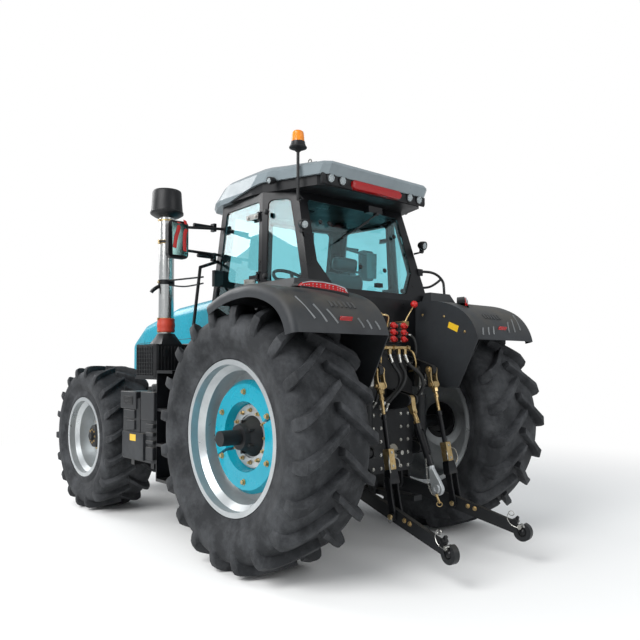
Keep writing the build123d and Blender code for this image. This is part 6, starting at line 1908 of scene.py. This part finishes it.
class TRACTOR_OT_bonnet_fittings(bpy.types.Operator):
    """Louvred side panels, shut lines, latches and the lamp trims of the bonnet."""

    bl_idname = "tractor.bonnet_fittings"
    bl_label = "Bonnet fittings"

    def execute(self, context):
        skin = surface_of(NODES["bonnet"])

        def on_side(x, z, hand, out):
            """The point of the bonnet's side at x and z, moved out by so much."""
            spot = skin.ray_cast(Vector((x, hand * 0.8, z)), Vector((0, -hand, 0)))[0]
            return Vector((x, (spot.y if spot else hand * 0.42) + hand * out, z))

        def over(x, share, out):
            """A point over the bonnet's top: share runs from the right edge, -1, to the left, 1."""
            spot = skin.ray_cast(Vector((x, share * 0.40, 3)), Vector((0, 0, -1)))[0]
            return Vector((x, share * 0.40, (spot.z if spot else 1.9) + out))

        for side, hand in SIDES:
            mesh = Shape()
            for row in range(9):
                z = 1.430 + 0.028 * row
                path = [on_side(0.62 + 0.05 * i, z, hand, -0.0015) for i in range(21)]
                mesh.tube(path, 0.006, 8)
            for x in (0.60, 0.95, 1.30, 1.64):
                mesh.tube([on_side(x, 1.405 + 0.03 * i, hand, -0.0015) for i in range(10)], 0.009, 8)
            for z in (1.402, 1.682):
                mesh.tube([on_side(0.60 + 0.052 * i, z, hand, -0.0015) for i in range(21)], 0.009, 8)
            finish_piece(mesh, f"bonnet_louvres_{side}", "black_moulding", "hood")
            seam = Shape().tube(
                [on_side(0.20 + 0.095 * i, 1.752 - 0.002 * i, hand, -0.0018) for i in range(20)], 0.0035, 6
            )
            for x in (0.46, 1.78):
                seam.tube([on_side(x, 1.36 + 0.03 * i, hand, -0.0018) for i in range(14)], 0.003, 6)
            finish_piece(seam, f"bonnet_shut_lines_{side}", "hose_rubber", "hood")
            latch = Shape()
            for x in (0.52, 1.72):
                seat = on_side(x, 1.372, hand, -0.001)
                latch.turned(
                    [(0.022, 0.0), (0.022, 0.005), (0.018, 0.009), (0.004, 0.010)], seat, (0, hand, 0), 24
                )
            finish_piece(latch, f"bonnet_latches_{side}", "black_moulding", "hood")
        top = Shape()
        for share in (-0.42, 0.42):
            top.tube([over(0.12 + 0.09 * i, share, -0.0018) for i in range(21)], 0.0035, 6)
        top.tube([over(0.30, -0.95 + 0.095 * i, -0.0018) for i in range(21)], 0.0032, 6)
        finish_piece(top, "bonnet_top_lines", "hose_rubber", "hood")
        low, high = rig.box("headlamps")
        trims = Shape()
        for hand in (1, -1):
            mid = (low.z + high.z) / 2
            for y in (hand * 0.130, hand * 0.235):
                trims.turned(
                    [(0.030, -0.004), (0.034, -0.002), (0.034, 0.002), (0.030, 0.003), (0.026, -0.002)],
                    (high.x - 0.002, y, mid), (1, 0, 0), 28, closed=True,
                )
        finish_piece(trims, "headlamp_rings", "turned_steel", "hood")
        return {"FINISHED"}


class TRACTOR_OT_engine_fittings(bpy.types.Operator):
    """Ribs, filters, pipes and bolts on the engine, and ribs on the battery box."""

    bl_idname = "tractor.engine_fittings"
    bl_label = "Engine fittings"

    def execute(self, context):
        low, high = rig.box("engine")
        cast, bright, dark = Shape(), Shape(), Shape()
        for hand in (1, -1):
            rib = Shape()
            face = hand * 0.235
            rib.box((low.x + 0.04, face - 0.004, 0.92), (low.x + 0.055, face + 0.006, 1.20))
            in_row(cast, rib, 12, (0.078, 0, 0))
            right, left = sorted((hand * 0.23, hand * 0.33))
            for x in (0.42, 0.56):
                dark.turned(
                    [
                        (0.020, 0.0), (0.046, 0.006), (0.048, 0.020), (0.048, 0.150), (0.040, 0.166),
                        (0.012, 0.170),
                    ],
                    (x, hand * 0.285, 1.235), (0, 0, -1), 28,
                )
                cast.box((x - 0.050, right, 1.233), (x + 0.050, left, 1.262))
            for i in range(6):
                bright.bolt((low.x + 0.10 + 0.15 * i, face, 1.300), (0, hand, 0), 0.012, 0.010)
                bright.bolt((low.x + 0.10 + 0.15 * i, face, 0.860), (0, hand, 0), 0.012, 0.010)
        dark.hose(
            [
                (0.60, 0.24, 1.34), (0.62, 0.33, 1.34), (0.80, 0.34, 1.30), (1.05, 0.33, 1.25),
                (1.12, 0.30, 1.15), (1.12, 0.23, 1.10),
            ],
            0.016, 12, 50,
        )
        dark.hose(
            [
                (0.70, -0.24, 1.36), (0.72, -0.34, 1.36), (0.95, -0.35, 1.30), (1.10, -0.33, 1.20),
                (1.12, -0.24, 1.15),
            ],
            0.018, 12, 50,
        )
        finish_piece(cast, "engine_ribs", "painted_casting", bevel=0.002)
        finish_piece(bright, "engine_bolts", "passivated_zinc")
        finish_piece(dark, "engine_pipes", "hose_rubber")
        low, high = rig.box("battery_box")
        box_bits = Shape()
        rib = Shape().box(
            (low.x + 0.06, low.y + 0.0005, low.z + 0.04), (low.x + 0.075, low.y + 0.010, high.z - 0.06)
        )
        for x in (low.x + 0.04, high.x - 0.06):
            box_bits.box((x, low.y, high.z - 0.030), (x + 0.030, low.y + 0.020, high.z - 0.004))
        in_row(box_bits, rib, 7, (0.080, 0, 0))
        finish_piece(box_bits, "battery_box_ribs", "rotomoulded_polyethylene", bevel=0.002)
        return {"FINISHED"}


# The camera behind the machine and to its left; angles in radians from straight ahead and from level
CAMERA_PLACE = (-5.4029, 3.9554, 1.4792)
CAMERA_YAW = -0.7385
CAMERA_PITCH = 0.0333
CAMERA_LENS_MM = 37.86
CAMERA_SHIFT = (-0.025, 0.034)
# Soft round lights: where each stands, what it looks at, its diameter in metres and its power in watts
LIGHTS = (
    ("key", (-2.0, 10.0, 8.5), (0, 0, 1.2), 8.5, 1350), ("fill", (-9.0, -2.0, 5.0), (-0.5, 0, 1.2), 6.0, 240),
    ("front", (8.0, 3.0, 6.5), (0.5, 0, 1.4), 6.0, 450),
)


class TRACTOR_OT_stage(bpy.types.Operator):
    """A pale floor, studio lights and the camera."""

    bl_idname = "tractor.stage"
    bl_label = "Stage"

    def execute(self, context):
        tree, shader = new_finish("matt_studio_floor")
        emboss(tree, shader, noise(tree, place(tree), 60.0, 3.0), 0.0008)
        set_inputs(shader, Base_Color=(*context.scene.tractor_colours.floor, 1.0), Roughness=0.8)
        set_inputs(shader, Specular_IOR_Level=0.2)
        reach = add_node(tree, "ShaderNodeVectorMath", {0: place(tree)}, operation="LENGTH")
        fade = ranged(tree, reach.outputs["Value"], 3.2, 8.0, interpolation_type="SMOOTHSTEP")
        share = multiplied(tree, fade, add_node(tree, "ShaderNodeLightPath").outputs["Is Camera Ray"])
        white = add_node(tree, "ShaderNodeEmission", {"Color": (1, 1, 1, 1), "Strength": 1.0})
        blended = add_node(tree, "ShaderNodeMixShader", {"Fac": share})
        tree.links.new(shader.outputs[0], blended.inputs[1])
        tree.links.new(white.outputs[0], blended.inputs[2])
        tree.links.new(blended.outputs[0], tree.nodes["Material Output"].inputs["Surface"])
        floor = added("studio_floor", bpy.data.meshes.new("studio_floor"))
        floor.data.from_pydata([(-60, -60, 0), (60, -60, 0), (60, 60, 0), (-60, 60, 0)], [], [(0, 1, 2, 3)])
        floor.data.materials.append(FINISHES["matt_studio_floor"])
        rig.stage(floor)
        for name, place_m, aim_m, size, power in LIGHTS:
            light = bpy.data.lights.new(name, "AREA")
            light.shape = "DISK"
            light.size = size
            light.energy = power
            lamp = added(name, light)
            lamp.location = place_m
            lamp.rotation_euler = (Vector(aim_m) - Vector(place_m)).to_track_quat("-Z", "Y").to_euler()
        world = bpy.data.worlds.new("studio")
        context.scene.world = world
        world.use_nodes = True
        tree = world.node_tree
        tree.nodes.clear()
        path = add_node(tree, "ShaderNodeLightPath")
        seen = add_node(
            tree, "ShaderNodeMath",
            {0: path.outputs["Is Camera Ray"], 1: path.outputs["Is Transmission Ray"]},
            operation="MAXIMUM",
        )
        bright = mixed(tree, seen.outputs[0], (0.50, 0.52, 0.54, 1), (1, 1, 1, 1))
        sky = add_node(tree, "ShaderNodeBackground", {"Color": bright, "Strength": 1.0})
        add_node(tree, "ShaderNodeOutputWorld", {"Surface": sky.outputs[0]})
        lens = bpy.data.cameras.new("camera")
        lens.sensor_width = 36
        lens.lens = CAMERA_LENS_MM
        lens.shift_x, lens.shift_y = CAMERA_SHIFT
        lens.clip_end = 200
        camera = added("camera", lens)
        camera.location = CAMERA_PLACE
        yaw, pitch = CAMERA_YAW, CAMERA_PITCH
        aim = Vector((cos(yaw) * cos(pitch), sin(yaw) * cos(pitch), sin(pitch)))
        camera.rotation_euler = aim.to_track_quat("-Z", "Y").to_euler()
        context.scene.camera = camera
        context.scene.view_settings.view_transform = "Standard"
        return {"FINISHED"}


class TractorSizes(bpy.types.PropertyGroup):
    """Sizes that a user may change."""

    rear_lugs: IntProperty(
        name="Rear lugs", description="Lugs on each side of a rear tyre", default=20, min=12, max=30
    )
    front_lugs: IntProperty(
        name="Front lugs", description="Lugs on each side of a front tyre", default=18, min=12, max=30
    )


class TractorColours(bpy.types.PropertyGroup):
    """Colours that a user may change."""

    floor: FloatVectorProperty(
        name="Floor",
        description="Colour of the studio floor",
        subtype="COLOR", size=3, default=linear("#f6f6f5")[:3],
    )


class TRACTOR_PT_panel(bpy.types.Panel):
    """The tractor's pieces, in the order in which they are made."""

    bl_idname = "TRACTOR_PT_panel"
    bl_label = "Tractor"
    bl_space_type = "VIEW_3D"
    bl_region_type = "UI"
    bl_category = "Tractor"

    def draw(self, context):
        for group in (context.scene.tractor_sizes, context.scene.tractor_colours):
            for name in group.__annotations__:
                self.layout.prop(group, name)
        for operator in OPERATORS:
            self.layout.operator(operator.bl_idname)


OPERATORS = tuple(value for name, value in list(globals().items()) if name.startswith("TRACTOR_OT_"))
ORDER = [operator.bl_idname.split(".")[1] for operator in OPERATORS if operator is not TRACTOR_OT_finishes]
ORDER.insert(0, "finishes")
CLASSES = (TractorSizes, TractorColours, *OPERATORS, TRACTOR_PT_panel)


def register():
    for item in CLASSES:
        bpy.utils.register_class(item)
    bpy.types.Scene.tractor_sizes = PointerProperty(type=TractorSizes)
    bpy.types.Scene.tractor_colours = PointerProperty(type=TractorColours)


def unregister():
    del bpy.types.Scene.tractor_colours
    del bpy.types.Scene.tractor_sizes
    for item in reversed(CLASSES):
        bpy.utils.unregister_class(item)


def main():
    """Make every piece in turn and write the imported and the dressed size."""
    register()
    for step in ORDER:
        getattr(bpy.ops.tractor, step)()
    sizes = [[list(corner) for corner in CAD_BOX], [list(corner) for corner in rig.bounds()]]
    with open("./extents.json", "w") as out:
        json.dump({"cad": sizes[0], "dressed": sizes[1]}, out)


if __name__ == "__main__":
    main()
